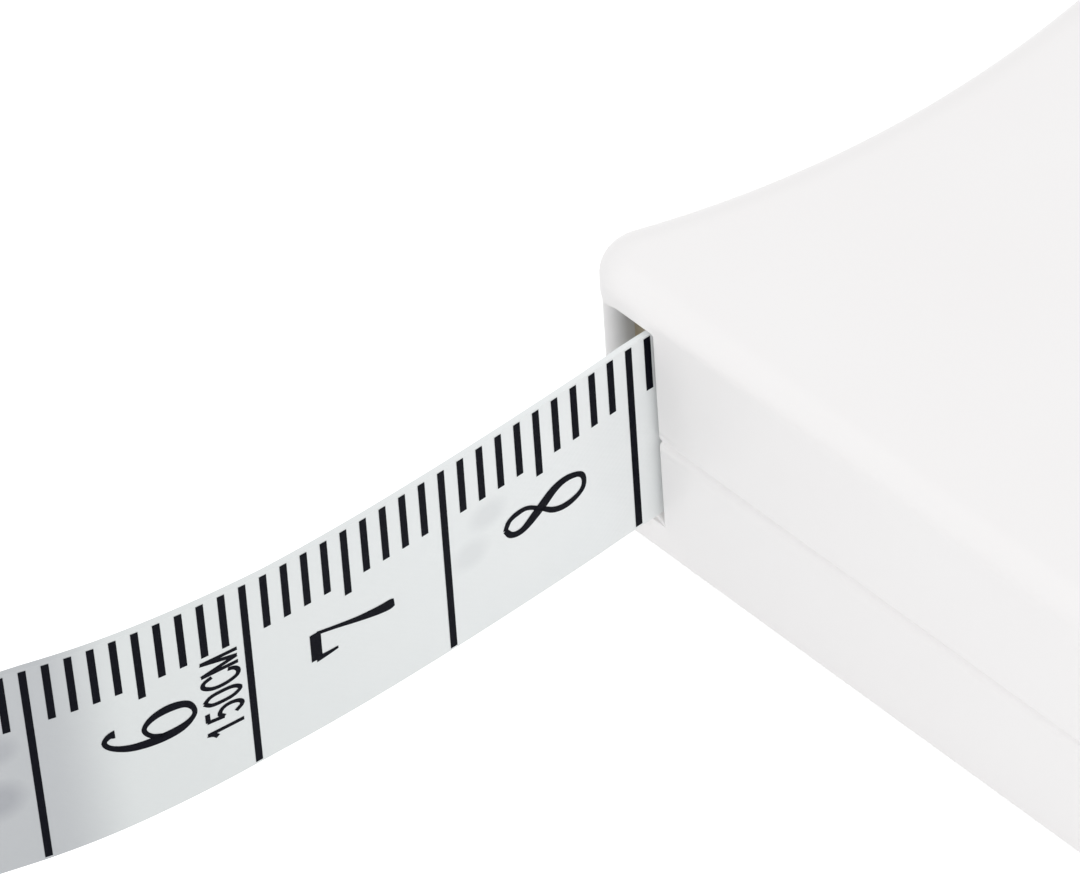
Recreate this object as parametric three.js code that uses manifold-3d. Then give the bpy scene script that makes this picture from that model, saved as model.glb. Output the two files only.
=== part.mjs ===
// Retractable cloth tape measure: a flat, waisted two-shell case with a sprung reel inside, a centre push
// button that frees a friction brake, and a printed tape standing on edge out of a slot at one horn.
// Millimetres, +Z up. The origin is under the middle of the case, on the surface it lies on, and the tape's
// mouth is in the straight flank that faces -Y.
import * as THREE from 'three';
import { mergeVertices } from 'three/addons/utils/BufferGeometryUtils.js';
import Module from 'manifold-3d';

// Case outline, seen from above
const HEAD_RADIUS = 26;          // round end behind the reel
const WAIST_PINCH = 1.9;         // each side of the waist is this much nearer the middle than the head is
const WAIST_RADIUS = 46.6;       // hollow of each side
const WAIST_FROM_FLANK = 25.7;   // narrowest place, measured from the flank
const HORN_RADIUS = 2.15;        // rounding of the two horns

// Case height and walls
const PARTING_HEIGHT = 8.05;     // plane where the two shells meet
const PARTING_GAP = 0.1;
const WALL = 1.3;
const FLOOR = 2.35;
const ROOF = 1.45;
const WALL_DRAFT = 0.05;         // lean of the upper wall over its whole height
const TOP_EDGE_RADIUS = 1.4;
const BOTTOM_EDGE_RADIUS = 0.5;
const LOWER_LIP_RADIUS = 0.45;   // rounded rim of the lower shell, the lower side of the parting groove
const UPPER_LIP_INSET = 0.5;     // sloped rim of the upper shell, the groove's upper side
const UPPER_LIP_HEIGHT = 0.9;

// Tape
const TAPE_WIDTH = 12.7;
const TAPE_THICKNESS = 0.28;
const TAPE_LENGTH = 1500;        // from the zero end to the end that is fixed to the reel
const TAPE_EDGE_GAP = 0.35;      // over and under the tape, inside the case
const MOUTH_WIDTH = 3.05;        // slot, measured along the flank, open to the horn's inner wall
const MOUTH_FROM_HORN = 2.9;     // from the horn's unrounded corner to the slot
const TAPE_FROM_MOUTH_SIDE = 2.6;

// Free tape: steps away from the mouth's middle, along X, Y and Z, chosen by hand from the mouth to its end
const TAPE_ROUTE = [
  [-0.57, -3.96, 0], [-1.19, -7.91, -0.01], [-1.88, -11.85, -0.02], [-2.67, -15.77, -0.05],
  [-3.61, -19.66, -0.08], [-4.76, -23.49, -0.12], [-6.18, -27.23, -0.18], [-7.94, -30.82, -0.25],
  [-10.33, -35.21, -0.37], [-12.6, -39.66, -0.52], [-14.73, -44.18, -0.7], [-16.73, -48.76, -0.9],
  [-18.62, -53.38, -1.11], [-20.41, -58.05, -1.31], [-22.11, -62.74, -1.5], [-23.76, -67.46, -1.65],
  [-25.35, -72.2, -1.75], [-26.59, -75.96, -1.79],
];

// Finger tab at the tape's zero end
const TAB_LENGTH = 7;
const TAB_THICKNESS = 3.4;
const TAB_OVERHANG = 0.75;       // stands past each edge of the tape, so that it stops at the mouth
const TAB_OVERLAP = 3.6;         // length of tape held inside the tab
const TAB_CORNER_RADIUS = 1.2;
const TAB_RIB_RADIUS = 0.4;
const TAB_RIB_COUNT = 3;
const TAB_RIB_PITCH = 1.3;
const RIVET_RADIUS = 0.8;
const RIVET_HEAD_RADIUS = 1.1;
const RIVET_HEAD_HEIGHT = 0.35;
const RIVET_SPACING = 7;

// Reel
const DRUM_RADIUS = 11;
const DRUM_WALL = 1.2;
const DRUM_WEB = 1;
const DRUM_HUB_RADIUS = 4.4;
const DRUM_HUB_RISE = 0.7;
const REEL_LID_THICKNESS = 1;
const REEL_LID_WIDTH = 2.4;      // from its edge to the opening that the button passes
const LID_REBATE = 0.6;          // step in the drum's wall that holds the lid
const WEAR_RING_THICKNESS = 0.3;
const WEAR_RING_WIDTH = 2.4;
const ANCHOR_WIDTH = 1.6;        // wedge that holds the tape's inner end in the drum's wall

// Axle post and springs
const POST_RADIUS = 2.8;
const POST_BORE = 2.4;           // square hole that keeps the plunger from turning
const POST_BORE_RISE = 0.6;      // the hole's bottom, over the case's floor
const SPRING_STRIP = 0.25;
const SPRING_TURNS = 7;
const SPRING_TAIL_SLOT = 0.9;
const SPRING_TAIL_DEPTH = 0.8;
const COIL_WIRE_RADIUS = 0.15;
const COIL_RADIUS = 0.82;
const COIL_TURNS = 4;
const COIL_LENGTH = 3.1;

// Button and brake
const BUTTON_LID_GAP = 0.6;      // between the button and the reel's lid
const BUTTON_RISE = 1.2;         // stands proud of the case's top
const BUTTON_WALL = 1.2;
const BUTTON_EDGE_RADIUS = 0.6;
const BUTTON_DISH = 0.35;
const BUTTON_TRAVEL = 1.6;
const BRAKE_DISC_THICKNESS = 0.75;
const BRAKE_DISC_GAP = 0.4;      // between the disc and the drum round it
const BRAKE_PAD_THICKNESS = 0.5;
const BRAKE_PAD_WIDTH = 1.2;
const PLUNGER_STEM = 1.9;        // side of its square stem

// Screws that close the case from below
const BOSS_RADIUS = 2.5;
const SCREW_RADIUS = 0.85;
const SCREW_HEAD_RADIUS = 1.55;
const SCREW_HEAD_HEIGHT = 1.2;
const SCREW_CROWN_RADIUS = 1.15; // flat of the head, inside its sloped rim
const SCREW_RIM_HEIGHT = 0.4;
const SCREW_SEAT = 1.9;
const SCREW_LENGTH = 10.6;
const FRONT_BOSS_INSET = 4.7;    // in from the flank
const FRONT_BOSS_FROM_HORN = 8.6;
const LEFT_BOSS_FROM_MOUTH = 9.5; // clear of the tape's run
const BACK_BOSS_ANGLES = [58, 122];

// Clearances
const SEAT_GAP = 0.1;            // between pieces that rest on each other
const RUNNING_GAP = 0.2;         // round what turns or slides
const SIDE_GAP = 0.3;            // beside the tape
const CUT_PAST = 1;              // how far a cut runs past the face that it opens

// Facets
const HORN_STEPS = 5;
const WAIST_STEPS = 14;
const HEAD_STEPS = 16;
const ROUND_STEPS = 48;
const POST_STEPS = 24;
const SMALL_ROUND_STEPS = 16;
const EDGE_STEPS = 5;
const SMALL_EDGE_STEPS = 3;
const LIP_STEPS = 4;
const RIB_STEPS = 8;
const SPIRAL_TURN_STEPS = 24;
const WINDING_STEPS = 72;
const TAPE_STEPS = 48;
const COIL_TURN_STEPS = 10;
const WIRE_SIDES = 6;

const wasm = await Module();
wasm.setup();

const part = new THREE.Group();

function addPiece(name, geometry, color, roughness, metalness = 0) {
  geometry.computeVertexNormals();
  const mesh = new THREE.Mesh(geometry, new THREE.MeshStandardMaterial({ color, roughness, metalness }));
  mesh.name = name;
  part.add(mesh);
  return mesh;
}

// Solids for cuts and joins
function weldedPoints(geometry) {
  const bare = geometry.clone();
  bare.deleteAttribute('normal');
  bare.deleteAttribute('uv');
  return mergeVertices(bare, 1e-5);
}

function solidOf(geometry) {
  const merged = weldedPoints(geometry);
  const vertProperties = new Float32Array(merged.attributes.position.array);
  const triVerts = new Uint32Array(merged.index.array);
  return new wasm.Manifold(new wasm.Mesh({ numProp: 3, vertProperties, triVerts }));
}

function geometryOf(solid) {
  const mesh = solid.getMesh();
  const geometry = new THREE.BufferGeometry();
  geometry.setAttribute('position', new THREE.BufferAttribute(new Float32Array(mesh.vertProperties), 3));
  geometry.setIndex(new THREE.BufferAttribute(new Uint32Array(mesh.triVerts), 1));
  return geometry;
}

function latheSolid(profile, steps = ROUND_STEPS) {
  const points = profile.map(([r, z]) => new THREE.Vector2(r, z));
  const closed = points[0].x > 0 || points[points.length - 1].x > 0;
  if (closed) points.push(points[0].clone());
  const geometry = new THREE.LatheGeometry(points, steps);
  geometry.rotateX(Math.PI / 2);
  return solidOf(outward(geometry));
}

// Turns a closed mesh's faces to point out of it
function outward(geometry) {
  const merged = weldedPoints(geometry);
  const position = merged.attributes.position;
  const index = merged.index.array;
  const [a, b, c] = [new THREE.Vector3(), new THREE.Vector3(), new THREE.Vector3()];
  const kept = [];
  let volume = 0;
  for (let i = 0; i < index.length; i += 3) {
    const corners = index.slice(i, i + 3);
    if (new Set(corners).size < 3) continue;
    kept.push(...corners);
    [a, b, c].forEach((corner, k) => corner.fromBufferAttribute(position, corners[k]));
    volume += a.dot(b.cross(c));
  }
  if (volume < 0) kept.reverse();
  merged.setIndex(kept);
  return merged;
}

function cylinderSolid(radius, low, high, x = 0, y = 0, steps = SMALL_ROUND_STEPS) {
  const geometry = new THREE.CylinderGeometry(radius, radius, high - low, steps);
  geometry.rotateX(Math.PI / 2);
  geometry.translate(x, y, (low + high) / 2);
  return solidOf(geometry);
}

function boxSolid(sizeX, sizeY, low, high, x = 0, y = 0) {
  const geometry = new THREE.BoxGeometry(sizeX, sizeY, high - low);
  geometry.translate(x, y, (low + high) / 2);
  return solidOf(geometry);
}

// Rings of equal point count, joined side to side and closed at both ends
function loftGeometry(rings) {
  const count = rings[0].length;
  const positions = rings.flat().flatMap((p) => [p.x, p.y, p.z]);
  const index = [];
  for (let k = 0; k + 1 < rings.length; k++) {
    for (let i = 0; i < count; i++) {
      const j = (i + 1) % count;
      const [a, b] = [k * count + i, k * count + j];
      index.push(a, b, b + count, a, b + count, a + count);
    }
  }
  const cap = (ring, offset, flip) => {
    const flat = flatten(ring);
    for (const [a, b, c] of THREE.ShapeUtils.triangulateShape(flat, [])) {
      index.push(...(flip ? [c, b, a] : [a, b, c]).map((v) => v + offset));
    }
  };
  const lastRing = rings.length - 1;
  const forward = !THREE.ShapeUtils.isClockWise(flatten(rings[0]));
  cap(rings[0], 0, forward);
  cap(rings[lastRing], lastRing * count, !forward);
  const geometry = new THREE.BufferGeometry();
  geometry.setAttribute('position', new THREE.Float32BufferAttribute(positions, 3));
  geometry.setIndex(index);
  return outward(geometry);
}

// A ring's points in its own plane, for filling its end
function flatten(ring) {
  const origin = ring[0];
  const across = ring[1].clone().sub(origin).normalize();
  const normal = new THREE.Vector3();
  for (let i = 2; i < ring.length && normal.lengthSq() < 1e-9; i++) {
    normal.crossVectors(across, ring[i].clone().sub(origin));
  }
  normal.normalize();
  const up = new THREE.Vector3().crossVectors(normal, across);
  return ring.map((p) => {
    const d = p.clone().sub(origin);
    return new THREE.Vector2(d.dot(across), d.dot(up));
  });
}

// Case outline: the flank, two horns, two hollow sides and the round head. All its arcs keep their centres
// when the outline is drawn in, so that every ring of the shells has the same points.
const waistDepth = WAIST_RADIUS - Math.sqrt(WAIST_RADIUS ** 2 - WAIST_FROM_FLANK ** 2);
const waistHalfWidth = HEAD_RADIUS - WAIST_PINCH;
const flankHalfWidth = waistHalfWidth + waistDepth;
const waistCentreX = -(waistHalfWidth + WAIST_RADIUS);
const axisFromWaist = Math.sqrt((WAIST_RADIUS + HEAD_RADIUS) ** 2 - waistCentreX ** 2);
const caseLength = WAIST_FROM_FLANK + axisFromWaist + HEAD_RADIUS;
const flankY = -caseLength / 2;
const waistY = flankY + WAIST_FROM_FLANK;
const reelY = waistY + axisFromWaist;
const hornY = flankY + HORN_RADIUS;
const hornX = waistCentreX + Math.sqrt((WAIST_RADIUS + HORN_RADIUS) ** 2 - (waistY - hornY) ** 2);

function arcPoints(cx, cy, radius, from, to, steps) {
  return Array.from({ length: steps + 1 }, (_, i) => {
    const angle = from + (to - from) * (i / steps);
    return new THREE.Vector2(cx + radius * Math.cos(angle), cy + radius * Math.sin(angle));
  });
}

function outlineRing(inset, z) {
  const hornTurn = Math.atan2(waistY - hornY, waistCentreX - hornX);
  const waistStart = Math.atan2(hornY - waistY, hornX - waistCentreX);
  const waistEnd = Math.atan2(axisFromWaist, -waistCentreX);
  const left = [
    ...arcPoints(hornX, hornY, HORN_RADIUS - inset, -Math.PI / 2, hornTurn - 2 * Math.PI, HORN_STEPS),
    ...arcPoints(waistCentreX, waistY, WAIST_RADIUS + inset, waistStart, waistEnd, WAIST_STEPS).slice(1),
    ...arcPoints(0, reelY, HEAD_RADIUS - inset, Math.PI + waistEnd, Math.PI / 2, HEAD_STEPS).slice(1),
  ];
  const right = left.slice(0, -1).reverse().map((p) => new THREE.Vector2(-p.x, p.y));
  return [...left, ...right].map((p) => new THREE.Vector3(p.x, p.y, z));
}

function shellSolid(profile) {
  return solidOf(loftGeometry(profile.map(([inset, z]) => outlineRing(inset, z))));
}

// Quarter round in a shell's profile, between two heights and insets
function roundedEdge(insetFrom, zFrom, insetTo, zTo, steps, startsUpright) {
  return Array.from({ length: steps + 1 }, (_, i) => {
    const turn = (i / steps) * (Math.PI / 2);
    const [slow, quick] = [1 - Math.cos(turn), Math.sin(turn)];
    const [along, over] = startsUpright ? [slow, quick] : [quick, slow];
    return [insetFrom + (insetTo - insetFrom) * along, zFrom + (zTo - zFrom) * over];
  });
}

// Heights inside the case, which is as tall as the tape needs
const roofZ = FLOOR + TAPE_WIDTH + 2 * TAPE_EDGE_GAP;
const caseHeight = roofZ + ROOF;
const lowerRim = PARTING_HEIGHT - PARTING_GAP / 2;
const upperRim = PARTING_HEIGHT + PARTING_GAP / 2;
const tapeMiddle = (FLOOR + roofZ) / 2;
const tapeLow = tapeMiddle - TAPE_WIDTH / 2;

// The tape's straight run, from the winding to the mouth
const mouthLeft = -flankHalfWidth + MOUTH_FROM_HORN;
const mouthX = mouthLeft + MOUTH_WIDTH / 2;
const tapeAtMouth = new THREE.Vector3(mouthLeft + TAPE_FROM_MOUTH_SIDE, flankY, tapeMiddle);
const outsideLength = TAPE_ROUTE.reduce((sum, [x, y, z], i) => {
  const [px, py, pz] = i === 0 ? [0, 0, 0] : TAPE_ROUTE[i - 1];
  return sum + Math.hypot(x - px, y - py, z - pz);
}, 0);
const windingArea = (TAPE_LENGTH - outsideLength) * TAPE_THICKNESS;
const windingRadius = Math.sqrt((DRUM_RADIUS + RUNNING_GAP) ** 2 + windingArea / Math.PI);
const tapeClearRadius = windingRadius + SIDE_GAP + TAPE_THICKNESS / 2;
const toReel = new THREE.Vector2(-tapeAtMouth.x, reelY - tapeAtMouth.y);
const runTurn = Math.atan2(toReel.x, toReel.y) - Math.asin(tapeClearRadius / toReel.length());
const runDirection = new THREE.Vector3(-Math.sin(runTurn), -Math.cos(runTurn), 0);
const runLength = Math.sqrt(toReel.length() ** 2 - tapeClearRadius ** 2);

// Screw places, shared by both shells and the screws
const backBossRadius = HEAD_RADIUS - WALL - BOSS_RADIUS + SIDE_GAP / 2;
const bossPlaces = [
  ['front_right', flankHalfWidth - FRONT_BOSS_FROM_HORN, flankY + FRONT_BOSS_INSET],
  ['front_left', mouthX + LEFT_BOSS_FROM_MOUTH, flankY + FRONT_BOSS_INSET],
  ...BACK_BOSS_ANGLES.map((angle, i) => {
    const turn = THREE.MathUtils.degToRad(angle);
    const name = i === 0 ? 'back_right' : 'back_left';
    return [name, backBossRadius * Math.cos(turn), reelY + backBossRadius * Math.sin(turn)];
  }),
];

// The mouth is a slot through the flank, as tall as the case inside; its wall end follows the tape's run
function mouthCut() {
  const inside = flankY + WALL + SIDE_GAP;
  const outside = flankY - CUT_PAST;
  const mouthRight = mouthLeft + MOUTH_WIDTH;
  const wallShift = (inside - flankY) * Math.tan(runTurn);
  const plan = [
    [mouthLeft, outside], [mouthRight, outside], [mouthRight, flankY],
    [mouthRight + wallShift, inside], [mouthLeft, inside],
  ];
  const rings = [FLOOR, roofZ].map((z) => plan.map(([x, y]) => new THREE.Vector3(x, y, z)));
  return solidOf(loftGeometry(rings));
}

// Lower shell: a moulded tray with the axle post and screw bosses
function lowerShell() {
  const lipStart = lowerRim - LOWER_LIP_RADIUS;
  const profile = [
    ...roundedEdge(BOTTOM_EDGE_RADIUS, 0, 0, BOTTOM_EDGE_RADIUS, SMALL_EDGE_STEPS, false),
    ...roundedEdge(0, lipStart, LOWER_LIP_RADIUS, lowerRim, LIP_STEPS, true),
    [WALL, lowerRim],
    [WALL, FLOOR],
  ];
  const bossTop = lowerRim - SEAT_GAP;
  let shell = shellSolid(profile);
  shell = shell.add(cylinderSolid(POST_RADIUS, FLOOR / 2, postTop, 0, reelY, POST_STEPS));
  for (const [, x, y] of bossPlaces) {
    shell = shell.add(cylinderSolid(BOSS_RADIUS, FLOOR / 2, bossTop, x, y));
  }
  for (const [, x, y] of bossPlaces) {
    shell = shell.subtract(cylinderSolid(SCREW_HEAD_RADIUS + RUNNING_GAP, -CUT_PAST, SCREW_SEAT, x, y));
    shell = shell.subtract(cylinderSolid(SCREW_RADIUS + RUNNING_GAP, -CUT_PAST, bossTop + CUT_PAST, x, y));
  }
  shell = shell.subtract(boxSolid(POST_BORE, POST_BORE, postBoreFloor, postTop + CUT_PAST, 0, reelY));
  shell = shell.subtract(postSlot());
  return shell.subtract(mouthCut());
}

// Slot in the post that takes the power spring's inner tail
function postSlot() {
  const slotX = POST_RADIUS + (CUT_PAST - SPRING_TAIL_DEPTH) / 2;
  const slotLength = SPRING_TAIL_DEPTH + CUT_PAST;
  return boxSolid(slotLength, SPRING_TAIL_SLOT, springLow - SIDE_GAP, springHigh + SIDE_GAP, slotX, reelY);
}

// Upper shell: a moulded lid with the button's opening and blind bosses for the screws
function upperShell() {
  const edgeStart = caseHeight - TOP_EDGE_RADIUS;
  const profile = [
    [WALL, roofZ],
    [WALL, upperRim],
    [UPPER_LIP_INSET, upperRim],
    [0, upperRim + UPPER_LIP_HEIGHT],
    ...roundedEdge(WALL_DRAFT, edgeStart, WALL_DRAFT + TOP_EDGE_RADIUS, caseHeight, EDGE_STEPS, true),
  ];
  const bossBottom = upperRim + SEAT_GAP;
  const pilotTop = SCREW_SEAT - SEAT_GAP + SCREW_LENGTH + SIDE_GAP;
  let shell = shellSolid(profile);
  for (const [, x, y] of bossPlaces) {
    shell = shell.add(cylinderSolid(BOSS_RADIUS, bossBottom, caseHeight - ROOF / 2, x, y));
  }
  for (const [, x, y] of bossPlaces) {
    shell = shell.subtract(cylinderSolid(SCREW_RADIUS + RUNNING_GAP, bossBottom - CUT_PAST, pilotTop, x, y));
  }
  const openingHigh = caseHeight + CUT_PAST;
  const openingRadius = buttonRadius + SIDE_GAP;
  const opening = cylinderSolid(openingRadius, roofZ - CUT_PAST, openingHigh, 0, reelY, ROUND_STEPS);
  return shell.subtract(opening).subtract(mouthCut());
}

// Heights of the reel and what is in it
const wearStack = WEAR_RING_THICKNESS + 1.5 * SEAT_GAP;
const drumLow = FLOOR + wearStack;
const drumHigh = roofZ - wearStack;
const lidLow = drumHigh - REEL_LID_THICKNESS;
const drumBore = DRUM_RADIUS - DRUM_WALL;
const lidRadius = drumBore + LID_REBATE - SEAT_GAP;
const lidBore = lidRadius - REEL_LID_WIDTH;
const buttonRadius = lidBore - BUTTON_LID_GAP;
const discRadius = drumBore - BRAKE_DISC_GAP;
const postBoreFloor = FLOOR + POST_BORE_RISE;
const padHigh = lidLow - SIDE_GAP;
const padLow = padHigh - BRAKE_PAD_THICKNESS;
const discHigh = padLow - SEAT_GAP;
const discLow = discHigh - BRAKE_DISC_THICKNESS;
const hubTop = discLow - BUTTON_TRAVEL - RUNNING_GAP;
const webTop = hubTop - DRUM_HUB_RISE;
const webLow = webTop - DRUM_WEB;
const postTop = hubTop - SEAT_GAP;
const springLow = drumLow + SIDE_GAP;
const springHigh = webLow - 2 * SIDE_GAP;
const stemLow = postBoreFloor + COIL_LENGTH + 2 * SEAT_GAP;

function atReel(solid) {
  return geometryOf(solid.translate([0, reelY, 0]));
}

// Reel drum: a cup open above and below its web, with a rebate for the lid and a notch for the power spring
function reelDrum() {
  const rebateRadius = drumBore + LID_REBATE;
  const rebateZ = lidLow - SEAT_GAP;
  const drum = latheSolid([
    [DRUM_RADIUS, drumLow], [DRUM_RADIUS, drumHigh], [rebateRadius, drumHigh], [rebateRadius, rebateZ],
    [drumBore, rebateZ], [drumBore, webTop], [DRUM_HUB_RADIUS, webTop], [DRUM_HUB_RADIUS, hubTop],
    [POST_RADIUS + RUNNING_GAP, hubTop], [POST_RADIUS + RUNNING_GAP, webLow],
    [drumBore, webLow], [drumBore, drumLow],
  ]);
  const slotLow = drumLow - CUT_PAST;
  const slotHigh = springHigh + SIDE_GAP;
  const notchX = drumBore + (SPRING_TAIL_DEPTH - CUT_PAST) / 2;
  const notch = boxSolid(SPRING_TAIL_DEPTH + CUT_PAST, SPRING_TAIL_SLOT, slotLow, slotHigh, notchX);
  const anchorX = -(DRUM_RADIUS + drumBore) / 2;
  const anchorWidth = ANCHOR_WIDTH + 2 * RUNNING_GAP;
  const anchorSlot = boxSolid(DRUM_WALL + 2 * CUT_PAST, anchorWidth, slotLow, slotHigh, anchorX);
  return drum.subtract(notch).subtract(anchorSlot);
}

// Reel lid: a flat ring in the drum's rebate, open in the middle for the button
function reelLid() {
  return ringSolid(lidBore, lidRadius, lidLow, drumHigh);
}

// Tape anchor: a wedge in a slot of the drum's wall, opposite the power spring's tail
function tapeAnchor() {
  const middle = -(DRUM_RADIUS + drumBore) / 2;
  const wedge = boxSolid(DRUM_WALL, ANCHOR_WIDTH, springLow, springHigh, middle);
  const wall = ringSolid(drumBore + RUNNING_GAP, DRUM_RADIUS, springLow - CUT_PAST, springHigh + CUT_PAST);
  return wedge.intersect(wall);
}

// Wear ring: a thin washer between the reel and one face of the case
function wearRing(low) {
  return ringSolid(DRUM_RADIUS - WEAR_RING_WIDTH, DRUM_RADIUS, low, low + WEAR_RING_THICKNESS);
}

function ringSolid(inner, outer, low, high) {
  return latheSolid([[outer, low], [outer, high], [inner, high], [inner, low]]);
}

// Power spring: a flat steel strip wound in a spiral, its tails in the post and in the drum's wall
function powerSpring() {
  const first = POST_RADIUS + RUNNING_GAP + SPRING_STRIP;
  const last = drumBore - RUNNING_GAP - SPRING_STRIP;
  const steps = SPRING_TURNS * SPIRAL_TURN_STEPS;
  const line = [new THREE.Vector2(POST_RADIUS - SPRING_TAIL_DEPTH + SIDE_GAP, 0)];
  for (let i = 0; i <= steps; i++) {
    const angle = (i / SPIRAL_TURN_STEPS) * 2 * Math.PI;
    const radius = first + ((last - first) * i) / steps;
    line.push(new THREE.Vector2(radius * Math.cos(angle), radius * Math.sin(angle)));
  }
  line.push(new THREE.Vector2(drumBore + SPRING_TAIL_DEPTH - SIDE_GAP, 0));
  const shape = new THREE.Shape(bandOutline(line, SPRING_STRIP));
  const geometry = new THREE.ExtrudeGeometry(shape, { depth: springHigh - springLow, bevelEnabled: false });
  geometry.translate(0, reelY, springLow);
  return outward(geometry);
}

// Both edges of a band of even thickness along a line, as one closed outline
function bandOutline(line, thickness) {
  const sides = [[], []];
  line.forEach((point, i) => {
    const before = line[Math.max(i - 1, 0)];
    const after = line[Math.min(i + 1, line.length - 1)];
    const along = after.clone().sub(before).normalize();
    const across = new THREE.Vector2(-along.y, along.x).multiplyScalar(thickness / 2);
    sides[0].push(point.clone().add(across));
    sides[1].push(point.clone().sub(across));
  });
  return [...sides[0], ...sides[1].reverse()];
}

// Wound tape: its outer edge is one turn of the spiral, with a step where the tape leaves for the mouth
function tapeWinding() {
  const start = Math.PI - runTurn;
  const outer = Array.from({ length: WINDING_STEPS + 1 }, (_, i) => {
    const turn = i / WINDING_STEPS;
    const radius = windingRadius - TAPE_THICKNESS * turn;
    const angle = start - turn * 2 * Math.PI;
    return new THREE.Vector2(radius * Math.cos(angle), radius * Math.sin(angle));
  });
  const shape = new THREE.Shape(outer);
  const hole = new THREE.Path();
  hole.absarc(0, 0, DRUM_RADIUS + RUNNING_GAP, 0, 2 * Math.PI);
  shape.holes.push(hole);
  const options = { depth: TAPE_WIDTH, bevelEnabled: false, curveSegments: ROUND_STEPS };
  const geometry = new THREE.ExtrudeGeometry(shape, options);
  geometry.translate(0, reelY, tapeLow);
  return outward(geometry);
}

// Tape between the winding and its zero end, on edge, square to its own route
const runStart = tapeAtMouth.clone().addScaledVector(runDirection, -(runLength - SIDE_GAP));
const tapeRoute = [
  runStart,
  tapeAtMouth.clone().addScaledVector(runDirection, -runLength / 2),
  tapeAtMouth.clone().addScaledVector(runDirection, -WALL),
  ...TAPE_ROUTE.map(([x, y, z]) => tapeAtMouth.clone().add(new THREE.Vector3(x, y, z))),
];
const tapeCurve = new THREE.CatmullRomCurve3(tapeRoute, false, 'centripetal');
const tapeEnd = tapeRoute[tapeRoute.length - 1];
const tapeEndDirection = tapeCurve.getTangent(1);

function freeTape() {
  const rings = Array.from({ length: TAPE_STEPS + 1 }, (_, i) => {
    const middle = tapeCurve.getPointAt(i / TAPE_STEPS);
    const along = tapeCurve.getTangentAt(i / TAPE_STEPS);
    const side = new THREE.Vector3(along.y, -along.x, 0).normalize().multiplyScalar(TAPE_THICKNESS / 2);
    const up = new THREE.Vector3().crossVectors(side, along).normalize().multiplyScalar(TAPE_WIDTH / 2);
    return [[1, 1], [1, -1], [-1, -1], [-1, 1]].map(([s, u]) => {
      return middle.clone().addScaledVector(side, s).addScaledVector(up, u);
    });
  });
  return loftGeometry(rings);
}

// Finger tab: a moulded grip closed over the tape's end, ribbed on both faces, with two rivets through it
function tabFrame() {
  const along = new THREE.Vector3(tapeEndDirection.x, tapeEndDirection.y, 0).normalize();
  const side = new THREE.Vector3(-along.y, along.x, 0);
  const origin = tapeEnd.clone().addScaledVector(along, -TAB_OVERLAP);
  return new THREE.Matrix4().makeBasis(along, side, new THREE.Vector3(0, 0, 1)).setPosition(origin);
}

const tabHalfHeight = TAPE_WIDTH / 2 + TAB_OVERHANG;

function fingerTab() {
  const shape = new THREE.Shape();
  const corner = TAB_CORNER_RADIUS;
  shape.moveTo(0, -tabHalfHeight);
  shape.lineTo(TAB_LENGTH - corner, -tabHalfHeight);
  shape.absarc(TAB_LENGTH - corner, -tabHalfHeight + corner, corner, -Math.PI / 2, 0);
  shape.lineTo(TAB_LENGTH, tabHalfHeight - corner);
  shape.absarc(TAB_LENGTH - corner, tabHalfHeight - corner, corner, 0, Math.PI / 2);
  shape.lineTo(0, tabHalfHeight);
  const options = { depth: TAB_THICKNESS, bevelEnabled: false, curveSegments: EDGE_STEPS };
  const block = new THREE.ExtrudeGeometry(shape, options);
  block.rotateX(Math.PI / 2);
  block.translate(0, TAB_THICKNESS / 2, 0);
  let tab = solidOf(block);
  const ribEnd = tabHalfHeight - corner;
  for (let i = 0; i < TAB_RIB_COUNT; i++) {
    const x = TAB_LENGTH - corner - i * TAB_RIB_PITCH;
    for (const y of [-TAB_THICKNESS / 2, TAB_THICKNESS / 2]) {
      tab = tab.add(cylinderSolid(TAB_RIB_RADIUS, -ribEnd, ribEnd, x, y, RIB_STEPS));
    }
  }
  const slotThickness = TAPE_THICKNESS + 2 * RUNNING_GAP;
  const slotLow = -TAPE_WIDTH / 2 - RUNNING_GAP;
  tab = tab.subtract(boxSolid(2 * (TAB_OVERLAP + SIDE_GAP), slotThickness, slotLow, -slotLow));
  for (const z of rivetHeights) {
    tab = tab.subtract(crossPin(RIVET_RADIUS + SEAT_GAP, TAB_THICKNESS + CUT_PAST, z));
  }
  return geometryOf(tab).applyMatrix4(tabFrame());
}

const rivetHeights = [-RIVET_SPACING / 2, RIVET_SPACING / 2];
const rivetX = TAB_LENGTH - TAB_CORNER_RADIUS - TAB_RIB_COUNT * TAB_RIB_PITCH - TAB_RIB_RADIUS;

function crossPin(radius, length, z, y = 0) {
  const geometry = new THREE.CylinderGeometry(radius, radius, length, SMALL_ROUND_STEPS);
  geometry.translate(rivetX, y, z);
  return solidOf(geometry);
}

function tabRivet(z) {
  const headFace = TAB_THICKNESS / 2 + SEAT_GAP / 2;
  let rivet = crossPin(RIVET_RADIUS, 2 * headFace + RIVET_HEAD_HEIGHT, z);
  for (const side of [-1, 1]) {
    const headMiddle = side * (headFace + RIVET_HEAD_HEIGHT / 2);
    rivet = rivet.add(crossPin(RIVET_HEAD_RADIUS, RIVET_HEAD_HEIGHT, z, headMiddle));
  }
  return geometryOf(rivet).applyMatrix4(tabFrame());
}

// The tape is punched where the rivets pass
function punchedTape() {
  let tape = solidOf(freeTape());
  for (const z of rivetHeights) {
    const punch = geometryOf(crossPin(RIVET_RADIUS + SEAT_GAP, TAB_THICKNESS, z)).applyMatrix4(tabFrame());
    tape = tape.subtract(solidOf(punch));
  }
  return geometryOf(tape);
}

// Push button: a shallow cup, open below, with a finger dish in its top
const buttonLow = discHigh + SEAT_GAP;
const buttonHigh = caseHeight + BUTTON_RISE;
const buttonRoof = buttonHigh - BUTTON_WALL;

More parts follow.
